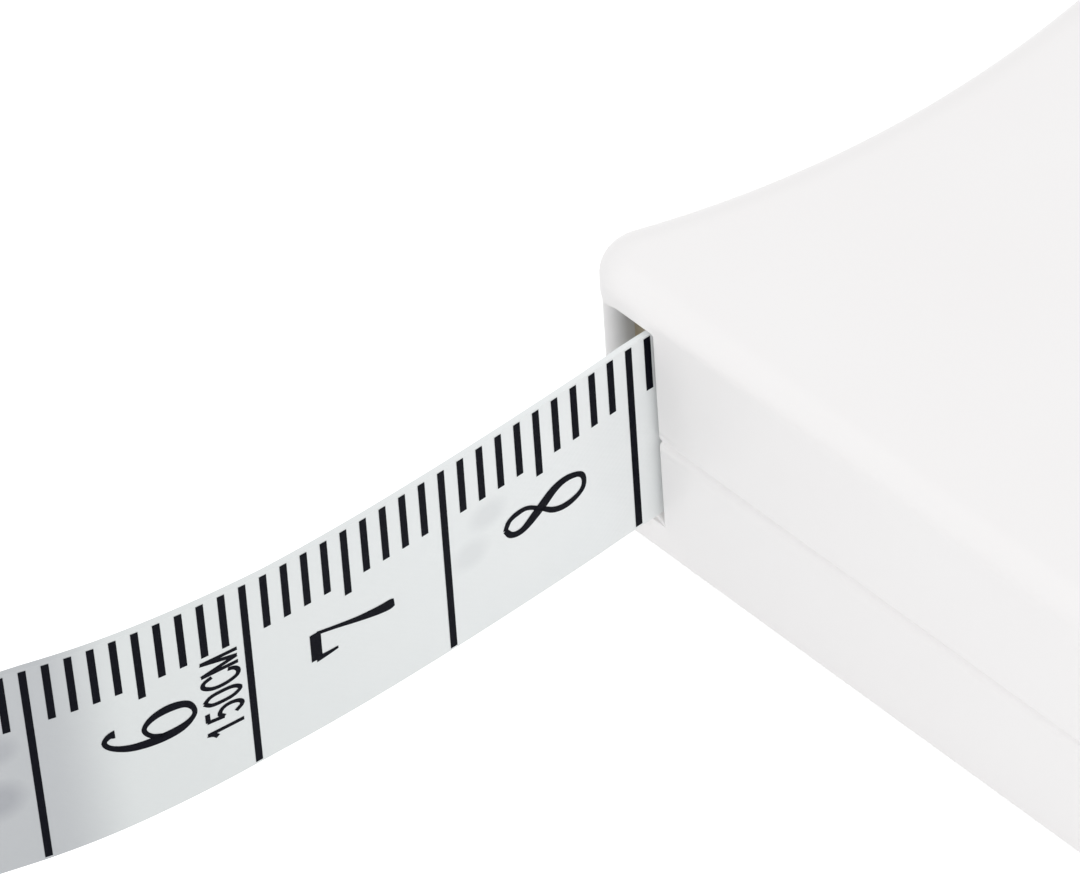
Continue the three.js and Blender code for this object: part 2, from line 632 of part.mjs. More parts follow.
function pushButton() {
  const edgeLow = buttonHigh - BUTTON_EDGE_RADIUS;
  const edge = roundedEdge(0, edgeLow, BUTTON_EDGE_RADIUS, buttonHigh, EDGE_STEPS, true);
  const dishRadius = buttonRadius - 2 * BUTTON_EDGE_RADIUS;
  const dish = Array.from({ length: EDGE_STEPS + 1 }, (_, i) => {
    const share = 1 - i / EDGE_STEPS;
    return [dishRadius * share, buttonHigh - BUTTON_DISH * (1 - share ** 2)];
  });
  return latheSolid([
    [0, buttonRoof], [buttonRadius - BUTTON_WALL, buttonRoof], [buttonRadius - BUTTON_WALL, buttonLow],
    [buttonRadius, buttonLow],
    ...edge.map(([inset, z]) => [buttonRadius - inset, z]),
    ...dish,
  ]);
}

// Brake plunger: a disc under the button, with a boss that carries it and a square stem in the axle post
function brakePlunger() {
  const bossTop = buttonRoof - SEAT_GAP;
  const disc = latheSolid([
    [0, discLow], [discRadius, discLow], [discRadius, discHigh], [POST_RADIUS, discHigh],
    [POST_RADIUS, bossTop], [0, bossTop],
  ]);
  return disc.add(boxSolid(PLUNGER_STEM, PLUNGER_STEM, stemLow, discLow + BRAKE_DISC_THICKNESS / 2));
}

// Brake pad: a rubber ring on the disc's rim, which the button spring presses up against the reel's lid
function brakePad() {
  return ringSolid(discRadius - BRAKE_PAD_WIDTH, discRadius, padLow, padHigh);
}

// Button spring: a wire coil in the post's bore, under the stem
function buttonSpring() {
  const low = postBoreFloor + COIL_WIRE_RADIUS + SEAT_GAP;
  const high = low + COIL_LENGTH - 2 * COIL_WIRE_RADIUS;
  const steps = COIL_TURNS * COIL_TURN_STEPS;
  const rings = Array.from({ length: steps + 1 }, (_, i) => {
    const angle = (i / COIL_TURN_STEPS) * 2 * Math.PI;
    const out = new THREE.Vector3(Math.cos(angle), Math.sin(angle), 0);
    const middle = out.clone().multiplyScalar(COIL_RADIUS).setZ(low + ((high - low) * i) / steps);
    return Array.from({ length: WIRE_SIDES }, (_, k) => {
      const turn = (k / WIRE_SIDES) * 2 * Math.PI;
      const point = middle.clone().addScaledVector(out, COIL_WIRE_RADIUS * Math.cos(turn));
      return point.setZ(middle.z + COIL_WIRE_RADIUS * Math.sin(turn));
    });
  });
  return loftGeometry(rings).translate(0, reelY, 0);
}

// Self-tapping screw, put in from below
function caseScrew(x, y) {
  const headTop = SCREW_SEAT - SEAT_GAP;
  const headLow = headTop - SCREW_HEAD_HEIGHT;
  const tip = headTop + SCREW_LENGTH;
  const screw = latheSolid([
    [0, headLow], [SCREW_CROWN_RADIUS, headLow], [SCREW_HEAD_RADIUS, headLow + SCREW_RIM_HEIGHT],
    [SCREW_HEAD_RADIUS, headTop], [SCREW_RADIUS, headTop], [SCREW_RADIUS, tip - SCREW_RADIUS], [0, tip],
  ], SMALL_ROUND_STEPS);
  return geometryOf(screw.translate([x, y, 0]));
}

// Colour, roughness and metalness
const WHITE_ABS = [0xf2f2f4, 0.42];
const TAPE_CLOTH = [0xe6e8ea, 0.5];
const STEEL = [0xb9bcc0, 0.3, 1];
const SPRING_STEEL = [0x6f767d, 0.35, 1];
const GREY_ACETAL = [0xc9ccd0, 0.45];
const RUBBER = [0x2b2c2e, 0.8];

addPiece('lower_shell', geometryOf(lowerShell()), ...WHITE_ABS);
addPiece('upper_shell', geometryOf(upperShell()), ...WHITE_ABS);
for (const [place, x, y] of bossPlaces) {
  addPiece(`case_screw_${place}`, caseScrew(x, y), ...STEEL);
}
addPiece('lower_wear_ring', atReel(wearRing(FLOOR + SEAT_GAP / 2)), ...GREY_ACETAL);
addPiece('upper_wear_ring', atReel(wearRing(drumHigh + SEAT_GAP)), ...GREY_ACETAL);
addPiece('power_spring', powerSpring(), ...SPRING_STEEL);
addPiece('reel_drum', atReel(reelDrum()), ...GREY_ACETAL);
addPiece('reel_lid', atReel(reelLid()), ...GREY_ACETAL);
addPiece('tape_anchor', atReel(tapeAnchor()), ...GREY_ACETAL);
addPiece('tape_winding', tapeWinding(), ...TAPE_CLOTH);
addPiece('free_tape', punchedTape(), ...TAPE_CLOTH);
addPiece('finger_tab', fingerTab(), ...WHITE_ABS);
addPiece('tab_rivet_lower', tabRivet(rivetHeights[0]), ...STEEL);
addPiece('tab_rivet_upper', tabRivet(rivetHeights[1]), ...STEEL);
addPiece('button_spring', buttonSpring(), ...SPRING_STEEL);
addPiece('brake_plunger', atReel(brakePlunger()), ...GREY_ACETAL);
addPiece('brake_pad', atReel(brakePad()), ...RUBBER);
addPiece('push_button', atReel(pushButton()), ...WHITE_ABS);

export default part;
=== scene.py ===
import math

import bmesh
import bpy
import numpy as np
from mathutils import Matrix, Vector


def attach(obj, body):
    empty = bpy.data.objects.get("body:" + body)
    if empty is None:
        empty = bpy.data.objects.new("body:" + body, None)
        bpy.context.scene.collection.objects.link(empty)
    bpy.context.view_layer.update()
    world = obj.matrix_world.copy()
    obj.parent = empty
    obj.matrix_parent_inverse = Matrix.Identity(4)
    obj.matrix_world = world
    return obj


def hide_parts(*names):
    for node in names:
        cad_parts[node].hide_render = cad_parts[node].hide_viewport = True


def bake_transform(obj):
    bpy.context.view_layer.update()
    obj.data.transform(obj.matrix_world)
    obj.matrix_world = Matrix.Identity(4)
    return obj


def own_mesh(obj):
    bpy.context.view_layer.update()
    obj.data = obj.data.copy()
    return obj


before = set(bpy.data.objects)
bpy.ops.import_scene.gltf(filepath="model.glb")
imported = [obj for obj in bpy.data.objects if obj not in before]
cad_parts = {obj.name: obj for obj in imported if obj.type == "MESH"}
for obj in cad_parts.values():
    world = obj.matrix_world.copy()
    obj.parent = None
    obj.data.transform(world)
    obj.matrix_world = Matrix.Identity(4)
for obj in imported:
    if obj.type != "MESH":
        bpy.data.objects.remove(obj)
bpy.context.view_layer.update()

# Camera. The picture is a close-up of the horn where the tape comes out, taken with a long lens from
# above and in front, the camera a little out of level.
MM = 0.001
PICTURE_WIDTH_PX = 1080
PICTURE_MIDDLE_PX = (540, 439)
PX_PER_MM = 23.64
SENSOR_MM = 36
CAMERA_DISTANCE_MM = 1000
VIEW_DOWN, VIEW_TURN, VIEW_ROLL = (math.radians(angle) for angle in (53.1, 46.31, 4.0))
MOUTH_WALL_END_MM = Vector((-25.878, -34.1, 9.05))    # half way up the tape
MOUTH_WALL_END_PX = (657.5, 430.0)                    # the same place in the picture

towards_camera = Vector((
    math.sin(VIEW_TURN) * math.cos(VIEW_DOWN),
    -math.cos(VIEW_TURN) * math.cos(VIEW_DOWN),
    math.sin(VIEW_DOWN),
))
level_right = Vector((math.cos(VIEW_TURN), math.sin(VIEW_TURN), 0))
level_up = towards_camera.cross(level_right)
picture_right = math.cos(VIEW_ROLL) * level_right - math.sin(VIEW_ROLL) * level_up
picture_up = math.sin(VIEW_ROLL) * level_right + math.cos(VIEW_ROLL) * level_up
picture_middle_mm = (
    MOUTH_WALL_END_MM
    - (MOUTH_WALL_END_PX[0] - PICTURE_MIDDLE_PX[0]) / PX_PER_MM * picture_right
    - (PICTURE_MIDDLE_PX[1] - MOUTH_WALL_END_PX[1]) / PX_PER_MM * picture_up
)

camera_data = bpy.data.cameras.new("camera")
camera_data.sensor_width = SENSOR_MM
camera_data.lens = SENSOR_MM * CAMERA_DISTANCE_MM * PX_PER_MM / PICTURE_WIDTH_PX
camera_data.clip_start = 0.01
camera = bpy.data.objects.new("camera", camera_data)
bpy.context.scene.collection.objects.link(camera)
camera.location = MM * (picture_middle_mm + CAMERA_DISTANCE_MM * towards_camera)
camera.rotation_euler = Matrix((picture_right, picture_up, towards_camera)).transposed().to_euler()
bpy.context.scene.camera = camera

# Tape. A strip of glass cloth, half an inch wide, coated white on both faces and cut from a wide roll.
# It stands on edge, comes straight from the reel to the mouth, and curls gently as it lies outside.
TAPE_WIDTH = 12.7
TAPE_THICKNESS = 0.24
TAPE_AT_MOUTH = np.array((-26.328, -34.1, 9.05))
RUN_DIRECTION = np.array((-0.221797, -0.975093, 0))
TAPE_DRAW = 1419.0           # how far the tape can still be drawn out
INSIDE_STEPS = (-24, -20, -16, -12, -8, -4, 0)
TAPE_ROUTE = np.array([
    (-0.57, -3.96, 0), (-1.19, -7.91, -0.01), (-1.88, -11.85, -0.02), (-2.67, -15.77, -0.05),
    (-3.61, -19.66, -0.08), (-4.76, -23.49, -0.12), (-6.18, -27.23, -0.18), (-7.94, -30.82, -0.25),
    (-10.33, -35.21, -0.37), (-12.6, -39.66, -0.52), (-14.73, -44.18, -0.7), (-16.73, -48.76, -0.9),
    (-18.62, -53.38, -1.11), (-20.41, -58.05, -1.31), (-22.11, -62.74, -1.5), (-23.76, -67.46, -1.65),
    (-25.35, -72.2, -1.75), (-26.59, -75.96, -1.79),
])
STATION = 0.5                # along the tape, between rows of the mesh
TAPE_SPANS = 6               # across the tape
LEAN_DEGREES = 3.2           # the tape's lower edge comes forward where it has curled most
LEAN_MARKS = (15, 44, 50, 61)
FREE_FROM = -1.4             # from here on the printed marks are not stretched
HELD_UNTIL = -22.0           # marks before this carry the whole draw, and between the two it is spread out


def smooth_line(points, spacing):
    points = np.asarray(points, float)
    padded = np.vstack((2 * points[0] - points[1], points, 2 * points[-1] - points[-2]))
    share = np.linspace(0, 1, 24, endpoint=False)[:, None]
    dense = []
    for a, b, c, d in zip(padded, padded[1:], padded[2:], padded[3:]):
        dense.append(b + 0.5 * share * (c - a + share * (2 * a - 5 * b + 4 * c - d
                                                         + share * (3 * (b - c) + d - a))))
    dense = np.vstack((*dense, points[-1:]))
    length = np.concatenate(([0], np.cumsum(np.linalg.norm(np.diff(dense, axis=0), axis=1))))
    even = np.linspace(0, length[-1], round(length[-1] / spacing) + 1)
    return even, np.column_stack([np.interp(even, length, dense[:, k]) for k in range(3)])


def unit(rows):
    return rows / np.linalg.norm(rows, axis=-1, keepdims=True)


def new_piece(name, points_mm, faces):
    mesh = bpy.data.meshes.new(name)
    mesh.from_pydata([tuple(MM * float(x) for x in point) for point in points_mm], [], faces)
    mesh.validate()
    piece = bpy.data.objects.new(name, mesh)
    bpy.context.scene.collection.objects.link(piece)
    return piece


def outward_faces(piece):
    mesh = bmesh.new()
    mesh.from_mesh(piece.data)
    bmesh.ops.recalc_face_normals(mesh, faces=mesh.faces)
    mesh.to_mesh(piece.data)
    mesh.free()


def joined_rings(name, rings):
    """A closed form through rings of equally many points, its first and last ring filled."""
    count = len(rings[0])
    faces = [
        (k * count + i, k * count + (i + 1) % count, (k + 1) * count + (i + 1) % count, (k + 1) * count + i)
        for k in range(len(rings) - 1) for i in range(count)
    ]
    faces.append(tuple(reversed(range(count))))
    faces.append(tuple(range((len(rings) - 1) * count, len(rings) * count)))
    piece = new_piece(name, np.vstack(rings), faces)
    outward_faces(piece)
    return piece


def smooth_shaded(piece, sharp_degrees):
    piece.data.shade_smooth()
    piece.data.set_sharp_from_angle(angle=math.radians(sharp_degrees))


def tape_strip(name, line, side, up, scale_marks, spans):
    """Tape along a line. Each point keeps its place on the printed scale and across the tape."""
    across = np.linspace(0, TAPE_WIDTH, spans + 1)
    section = [(t, -1) for t in across] + [(t, 1) for t in across[::-1]]
    rows = np.stack([
        line + face * TAPE_THICKNESS / 2 * side + (TAPE_WIDTH / 2 - t) * up for t, face in section
    ], axis=1)
    strip = joined_rings(name, rows)
    for measure, values in (
        ("mark_mm", np.repeat(scale_marks, len(section))),
        ("across_mm", np.tile([t for t, _ in section], len(line))),
    ):
        attribute = strip.data.attributes.new(measure, "FLOAT", "POINT")
        attribute.data.foreach_set("value", values.astype(np.float32))
    smooth_shaded(strip, 40)
    return strip


inside = TAPE_AT_MOUTH + np.outer(INSIDE_STEPS, RUN_DIRECTION)
from_mouth, tape_line = smooth_line(np.vstack((inside, TAPE_AT_MOUTH + TAPE_ROUTE)), STATION)
from_mouth += INSIDE_STEPS[0]
marks = from_mouth[-1] - from_mouth
tape_along = unit(np.gradient(tape_line, axis=0))
level_side = unit(np.column_stack((tape_along[:, 1], -tape_along[:, 0], np.zeros(len(tape_line)))))
square_up = np.cross(level_side, tape_along)
lean = np.radians(LEAN_DEGREES) * np.interp(marks, LEAN_MARKS, (0, 1, 1, 0))[:, None]
tape_side = np.cos(lean) * level_side - np.sin(lean) * square_up
tape_up = np.cos(lean) * square_up + np.sin(lean) * level_side
drawn = np.clip((from_mouth - HELD_UNTIL) / (FREE_FROM - HELD_UNTIL), 0, 1)
drawn = drawn * drawn * (3 - 2 * drawn)
stretched_marks = marks + (1 - drawn) * TAPE_DRAW
tape = tape_strip("printed_tape", tape_line, tape_side, tape_up, stretched_marks, TAPE_SPANS)


def linear(hex_colour):
    values = [int(hex_colour[i:i + 2], 16) / 255 for i in (1, 3, 5)]
    return tuple(v / 12.92 if v <= 0.04045 else ((v + 0.055) / 1.055) ** 2.4 for v in values) + (1,)


def add_node(tree, kind, inputs=None, **settings):
    node = tree.nodes.new(kind)
    for name, value in settings.items():
        setattr(node, name, value)
    for socket, value in (inputs or {}).items():
        if isinstance(value, bpy.types.NodeSocket):
            tree.links.new(value, node.inputs[socket])
        else:
            node.inputs[socket].default_value = value
    return node


def new_material(name, sockets):
    material = bpy.data.materials.new(name)
    material.use_nodes = True
    shader = material.node_tree.nodes["Principled BSDF"]
    for socket, value in sockets.items():
        shader.inputs[socket].default_value = value
    return material, material.node_tree, shader


# Coated glass cloth: a smooth, slightly glossy white coat, through which the square weave just shows. The
# threads are 0.4 mm apart. Towards the zero end the coat is greyed with painted shade, deepest between marks
# 50 and 55, and where the coat is thin the print on the far face shows through as a soft grey shape.
THREAD_MM = 0.4
LINE_MM = 0.35               # printed line
TICK_END, LONG_TICK_END = 3.75, 4.6
SEPARATE_PRINT_TO = 82.4     # nearer the zero end the print is a piece of its own
# Painted shade on the coat towards the zero end: a long fade, and a deeper patch near mark 50
SHADE_FADE_MARKS = (50.0, 78.0)    # greyest at the first, clean from the second on
DEEP_SHADE_MARKS = (50.5, 54.5)
# Mark, distance from the ticks' edge, reach and depth of each grey shape
SHOW_THROUGH = ((48.2, 8.0, 1.5, 0.45), (48.5, 4.8, 1.1, 0.3), (72.2, 5.0, 1.2, 0.14), (71.2, 7.0, 1.2, 0.12))
cloth, tree, shader = new_material("coated_glass_cloth", {"Roughness": 0.38})
mark = add_node(tree, "ShaderNodeAttribute", attribute_name="mark_mm").outputs["Fac"]
over = add_node(tree, "ShaderNodeAttribute", attribute_name="across_mm").outputs["Fac"]
weave = []
for place in (mark, over):
    turn = add_node(tree, "ShaderNodeMath", {0: place, 1: 2 * math.pi / THREAD_MM}, operation="MULTIPLY")
    weave.append(add_node(tree, "ShaderNodeMath", {0: turn.outputs[0]}, operation="SINE").outputs[0])
woven = add_node(tree, "ShaderNodeMath", {0: weave[0], 1: weave[1]}, operation="MULTIPLY").outputs[0]
place = add_node(tree, "ShaderNodeTexCoord").outputs["Object"]
cloudy = add_node(tree, "ShaderNodeTexNoise", {"Vector": place, "Scale": 1 / (4 * MM), "Detail": 3})
coat = add_node(tree, "ShaderNodeMix", {
    "Factor": cloudy.outputs["Fac"], 6: linear("#e8eced"), 7: linear("#eef0f0"),
}, data_type="RGBA").outputs[2]
# Painted shade: the coat greys towards the zero end, most at mark 50.
painted_shade_fade = add_node(tree, "ShaderNodeMapRange", {
    "Value": mark, 1: SHADE_FADE_MARKS[0], 2: SHADE_FADE_MARKS[1], 3: 1.0, 4: 0.0,
}).outputs[0]
coat = add_node(tree, "ShaderNodeMix", {"Factor": painted_shade_fade, 6: coat, 7: linear("#d8dcdc")},
                data_type="RGBA").outputs[2]
# Painted shade, deeper still between marks 50.5 and 54.5.
painted_deep_shade = add_node(tree, "ShaderNodeMapRange", {
    "Value": mark, 1: DEEP_SHADE_MARKS[0], 2: DEEP_SHADE_MARKS[1], 3: 1.0, 4: 0.0,
}, interpolation_type="SMOOTHSTEP").outputs[0]
coat = add_node(tree, "ShaderNodeMix", {"Factor": painted_deep_shade, 6: coat, 7: linear("#babdc0")},
                data_type="RGBA").outputs[2]
here = add_node(tree, "ShaderNodeCombineXYZ", {0: mark, 1: over}).outputs[0]
for mark_mm, across_mm, reach_mm, depth in SHOW_THROUGH:
    away = add_node(tree, "ShaderNodeVectorMath", {0: here, 1: (mark_mm, across_mm, 0)},
                    operation="DISTANCE")
    seen = add_node(tree, "ShaderNodeMapRange", {
        "Value": away.outputs["Value"], 1: 0.4 * reach_mm, 2: reach_mm, 3: depth, 4: 0.0,
    }).outputs[0]
    coat = add_node(tree, "ShaderNodeMix", {"Factor": seen, 6: coat, 7: linear("#83858f")},
                    data_type="RGBA").outputs[2]


def line_mask(pitch, end):
    """1 on printed lines that stand a pitch apart and reach from the ticks' edge to an end."""
    shifted = add_node(tree, "ShaderNodeMath", {0: mark, 1: pitch / 2}, operation="ADD").outputs[0]
    cell = add_node(tree, "ShaderNodeMath", {0: shifted, 1: pitch}, operation="FLOORED_MODULO").outputs[0]
    near = add_node(tree, "ShaderNodeMath", {0: cell, 1: pitch / 2, 2: LINE_MM / 2}, operation="COMPARE")
    reach = add_node(tree, "ShaderNodeMath", {0: over, 1: end}, operation="LESS_THAN")
    return add_node(tree, "ShaderNodeMath", {0: near.outputs[0], 1: reach.outputs[0]},
                    operation="MULTIPLY").outputs[0]


printed = line_mask(1, TICK_END)
for pitch, end in ((5, LONG_TICK_END), (10, TAPE_WIDTH)):
    printed = add_node(tree, "ShaderNodeMath", {0: printed, 1: line_mask(pitch, end)},
                       operation="MAXIMUM").outputs[0]
on_reel = add_node(tree, "ShaderNodeMath", {0: mark, 1: SEPARATE_PRINT_TO},
                   operation="GREATER_THAN").outputs[0]
printed = add_node(tree, "ShaderNodeMath", {0: printed, 1: on_reel}, operation="MULTIPLY").outputs[0]
shown = add_node(tree, "ShaderNodeMix", {"Factor": printed, 6: coat, 7: linear("#14171f")}, data_type="RGBA")
tree.links.new(shown.outputs[2], shader.inputs["Base Color"])
bump = add_node(tree, "ShaderNodeBump", {"Height": woven, "Strength": 0.15, "Distance": 0.01 * MM})
tree.links.new(bump.outputs[0], shader.inputs["Normal"])
tape.data.materials.append(cloth)

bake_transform(tape)
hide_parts("free_tape")

# Printed scale. Ticks, centimetre lines and numbers, screen printed on the coat in a blue-black ink. The
# numbers stand along the tape, their heads to its zero end, in thick and thin strokes.
INK_LIFT = 0.012
INK_SPREAD = 1.25            # the strokes print wider than they are drawn
DIGIT_TALL, DIGIT_WIDE = 4.35, 1.95
DIGIT_MIDDLE = 6.92          # from the ticks' edge
DIGIT_BEFORE_LINE = 4.85     # from a number's middle to its centimetre line
LAST_MARK = 82
TICK_START = 0.15            # the print stops just short of the cut edge
STROKE_STATION = 0.12        # along a curved stroke, between rows of its mesh
# Strokes in a unit box: right, up and thickness in millimetres
DIGIT_STROKES = {
    1: [[(0.2, 0.8, 0.18), (0.42, 0.88, 0.2), (0.56, 0.98, 0.3)],
        [(0.56, 0.99, 0.44), (0.56, 0.01, 0.44)]],
    2: [[(0.1, 0.74, 0.36), (0.14, 0.88, 0.26), (0.45, 0.98, 0.2), (0.8, 0.9, 0.34), (0.87, 0.74, 0.44),
         (0.7, 0.5, 0.34), (0.3, 0.2, 0.22), (0.05, 0.05, 0.2)],
        [(0.03, 0.05, 0.42), (0.97, 0.05, 0.42)]],
    3: [[(0.12, 0.82, 0.36), (0.3, 0.96, 0.22), (0.6, 0.97, 0.22), (0.84, 0.84, 0.4), (0.78, 0.66, 0.34),
         (0.45, 0.54, 0.2)],
        [(0.45, 0.54, 0.2), (0.82, 0.46, 0.3), (0.94, 0.26, 0.46), (0.72, 0.06, 0.26), (0.4, 0.02, 0.2),
         (0.12, 0.1, 0.3), (0.07, 0.2, 0.36)]],
    4: [[(0.72, 0.98, 0.2), (0.04, 0.3, 0.2)], [(0.03, 0.3, 0.34), (0.98, 0.3, 0.34)],
        [(0.72, 0.99, 0.44), (0.72, 0.01, 0.44)]],
    5: [[(0.2, 0.95, 0.4), (0.88, 0.95, 0.4)], [(0.2, 0.96, 0.2), (0.14, 0.56, 0.2)],
        [(0.14, 0.56, 0.2), (0.4, 0.64, 0.22), (0.78, 0.54, 0.36), (0.92, 0.32, 0.46), (0.74, 0.08, 0.28),
         (0.42, 0.02, 0.2), (0.14, 0.08, 0.3), (0.07, 0.18, 0.36)]],
    6: [[(0.86, 0.86, 0.44), (0.84, 0.93, 0.3), (0.66, 0.98, 0.2), (0.4, 0.9, 0.24), (0.16, 0.7, 0.36),
         (0.06, 0.42, 0.46), (0.1, 0.18, 0.42), (0.3, 0.04, 0.24), (0.55, 0.02, 0.2), (0.84, 0.1, 0.32),
         (0.95, 0.28, 0.42), (0.86, 0.46, 0.34), (0.6, 0.56, 0.2), (0.3, 0.5, 0.2), (0.1, 0.36, 0.24)]],
    7: [[(0.06, 0.7, 0.14), (0.04, 0.84, 0.24), (0.04, 0.95, 0.34)],
        [(0.02, 0.945, 0.44), (0.98, 0.945, 0.44)],
        [(0.95, 0.93, 0.18), (0.8, 0.7, 0.2), (0.63, 0.45, 0.3), (0.51, 0.22, 0.46), (0.47, 0.08, 0.54),
         (0.47, 0.03, 0.4)]],
    8: [[(0.5, 0.985, 0.2), (0.22, 0.91, 0.28), (0.17, 0.77, 0.38), (0.5, 0.57, 0.5), (0.86, 0.38, 0.46),
         (0.95, 0.22, 0.36), (0.8, 0.06, 0.24), (0.5, 0.015, 0.2), (0.2, 0.06, 0.26), (0.05, 0.22, 0.34),
         (0.15, 0.39, 0.28), (0.5, 0.55, 0.18), (0.8, 0.7, 0.22), (0.85, 0.82, 0.3), (0.76, 0.93, 0.26),
         (0.5, 0.985, 0.2)]],
}
# A plain note of the whole length, before the 6 cm line
NOTE_TALL, NOTE_STEP, NOTE_STROKE = 1.85, 1.1, 0.19
NOTE_MARK, NOTE_START = 58.6, 9.55
NOTE_STROKES = [
    [[(0.1, 0.72), (0.3, 0.82), (0.42, 0.98)], [(0.42, 0.98), (0.42, 0.02)]],
    [[(0.72, 0.93), (0.2, 0.93)], [(0.2, 0.95), (0.12, 0.5)],
     [(0.12, 0.5), (0.38, 0.62), (0.68, 0.52), (0.76, 0.3), (0.62, 0.08), (0.36, 0.03), (0.1, 0.2)]],
    [[(0.42, 0.97), (0.16, 0.8), (0.1, 0.5), (0.16, 0.2), (0.42, 0.03), (0.68, 0.2), (0.74, 0.5),
      (0.68, 0.8), (0.42, 0.97)]],
    [[(0.86, 0.72), (0.7, 0.93), (0.42, 0.95), (0.14, 0.72), (0.1, 0.4), (0.26, 0.1), (0.55, 0.04),
      (0.8, 0.14), (0.88, 0.3)]],
    [[(0.1, 0.02), (0.1, 0.98)], [(0.1, 0.98), (0.5, 0.04)], [(0.5, 0.04), (0.9, 0.98)],
     [(0.9, 0.98), (0.9, 0.02)]],
]


def on_tape(spots, face):
    """Places, given as mark and distance from the ticks' edge, just over one face of the tape."""
    spots = np.asarray(spots, float)
    here = from_mouth[-1] - spots[:, 0]
    line, side, up = (
        np.column_stack([np.interp(here, from_mouth, rows[:, k]) for k in range(3)])
        for rows in (tape_line, tape_side, tape_up)
    )
    return line + face * (TAPE_THICKNESS / 2 + INK_LIFT) * side + (TAPE_WIDTH / 2 - spots[:, 1:]) * up


def stroke_strip(stroke):
    """Both edges of one stroke, as mark and distance rows, from its middle line and thickness."""
    line = np.asarray(stroke, float)
    if len(stroke) > 2:
        _, line = smooth_line(stroke, STROKE_STATION)
    direction = unit(np.gradient(line[:, :2], axis=0))
    normal = np.column_stack((-direction[:, 1], direction[:, 0]))
    half = INK_SPREAD * line[:, 2:3] / 2
    return line[:, :2] + half * normal, line[:, :2] - half * normal


ink_points, ink_faces = [], []
for face in (-1, 1):
    strips = []
    for mark_mm in range(1, LAST_MARK + 1):
        end = LONG_TICK_END if mark_mm % 5 == 0 else TICK_END
        if mark_mm % 10 == 0:
            end = TAPE_WIDTH - TICK_START
        ends = np.array([(mark_mm, TICK_START), (mark_mm, end)], float)
        strips.append((ends - (LINE_MM / 2, 0), ends + (LINE_MM / 2, 0)))
    for number, strokes in DIGIT_STROKES.items():
        middle = 10 * number - DIGIT_BEFORE_LINE
        for stroke in strokes:
            laid = [
                (middle + (0.5 - up) * DIGIT_TALL, DIGIT_MIDDLE + face * (right - 0.5) * DIGIT_WIDE, thick)
                for right, up, thick in stroke
            ]
            strips.append(stroke_strip(laid))
    for step, strokes in enumerate(NOTE_STROKES):
        for stroke in strokes:
            begin = NOTE_START - NOTE_STEP * step
            if face == 1:
                begin = TAPE_WIDTH - begin
            laid = [
                (NOTE_MARK + (0.5 - up) * NOTE_TALL, begin + face * right * NOTE_STEP, NOTE_STROKE)
                for right, up in stroke
            ]
            strips.append(stroke_strip(laid))
    for left, right in strips:
        first = sum(len(points) for points in ink_points)
        ink_points.append(np.stack((on_tape(left, face), on_tape(right, face)), axis=1).reshape(-1, 3))
        for k in range(len(left) - 1):
            corner = first + 2 * k
            ink_faces.append((corner, corner + 1, corner + 3, corner + 2))
scale_print = new_piece("tape_scale_print", np.vstack(ink_points), ink_faces)

# Screen ink: nearly black with a little blue in it, flat, and slightly uneven where the mesh let less
# through.
ink, tree, shader = new_material("screen_ink", {"Roughness": 0.6, "Specular IOR Level": 0.04})
place = add_node(tree, "ShaderNodeTexCoord").outputs["Object"]
uneven = add_node(tree, "ShaderNodeTexNoise", {"Vector": place, "Scale": 1 / (0.3 * MM), "Detail": 2})
tone = add_node(tree, "ShaderNodeMix", {
    "Factor": uneven.outputs["Fac"], 6: linear("#03040b"), 7: linear("#0a0b16"),
}, data_type="RGBA")
tree.links.new(tone.outputs[2], shader.inputs["Base Color"])
scale_print.data.materials.append(ink)
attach(scale_print, "tape")

# Finger tab. A white ABS grip, moulded in one piece with ribs on both faces and a slot that takes the end of
# the tape. It is wider than the mouth, so the tape can't run back into the case.
TAB_LENGTH, TAB_THICKNESS, TAB_HALF_HEIGHT = 7, 3.4, 7.1
TAB_OVERLAP = 3.6            # length of tape held inside the tab
TAB_FREE_CORNER, TAB_TAPE_CORNER, TAB_EDGE_RADIUS = 1.2, 0.5, 0.4
RIB_PLACES, RIB_RADIUS, RIB_HALF_LENGTH = (5.8, 4.5, 3.2), 0.4, 5.9
SLOT_REACH, SLOT_HALF_THICK, SLOT_HALF_HEIGHT = 3.9, 0.34, 6.55
RIVET_PLACE, RIVET_HEIGHTS, RIVET_HOLE_RADIUS = 1.5, (-3.5, 3.5), 0.9
TAPE_END = TAPE_AT_MOUTH + TAPE_ROUTE[-1]
TAB_ALONG = unit(np.array((-0.313174, -0.949642, 0)))


def arc(centre, radius, start, end, steps):
    turn = np.linspace(start, end, steps + 1)
    return np.asarray(centre) + radius * np.column_stack((np.cos(turn), np.sin(turn)))


def lathe(name, profile, centre=(0, 0), steps=32):
    """A turned form round an upright axis, from rows of radius and height."""
    return joined_rings(name, [
        np.column_stack((arc(centre, radius, 0, 2 * math.pi, steps)[:-1], np.full(steps, z)))
        for radius, z in profile
    ])


def box(name, low, high):
    (x0, y0, z0), (x1, y1, z1) = low, high
    return joined_rings(name, [
        np.array([(x0, y0, z), (x1, y0, z), (x1, y1, z), (x0, y1, z)]) for z in (z0, z1)
    ])


def combine(piece, tool, operation):
    change = piece.modifiers.new("change", "BOOLEAN")
    change.object = tool
    change.operation = operation
    change.solver = "EXACT"
    whole = piece.evaluated_get(bpy.context.evaluated_depsgraph_get())
    mesh = bpy.data.meshes.new_from_object(whole)
    piece.modifiers.clear()
    piece.data = mesh
    bpy.data.objects.remove(tool)


def rounded(corner_from, corner_to, steps, starts_upright):
    """A quarter round of a profile, from one corner point to another."""
    turn = np.linspace(0, math.pi / 2, steps + 1)
    slow, quick = 1 - np.cos(turn), np.sin(turn)
    along, over = (slow, quick) if starts_upright else (quick, slow)
    (a, b), (c, d) = corner_from, corner_to
    return list(zip(a + (c - a) * along, b + (d - b) * over))


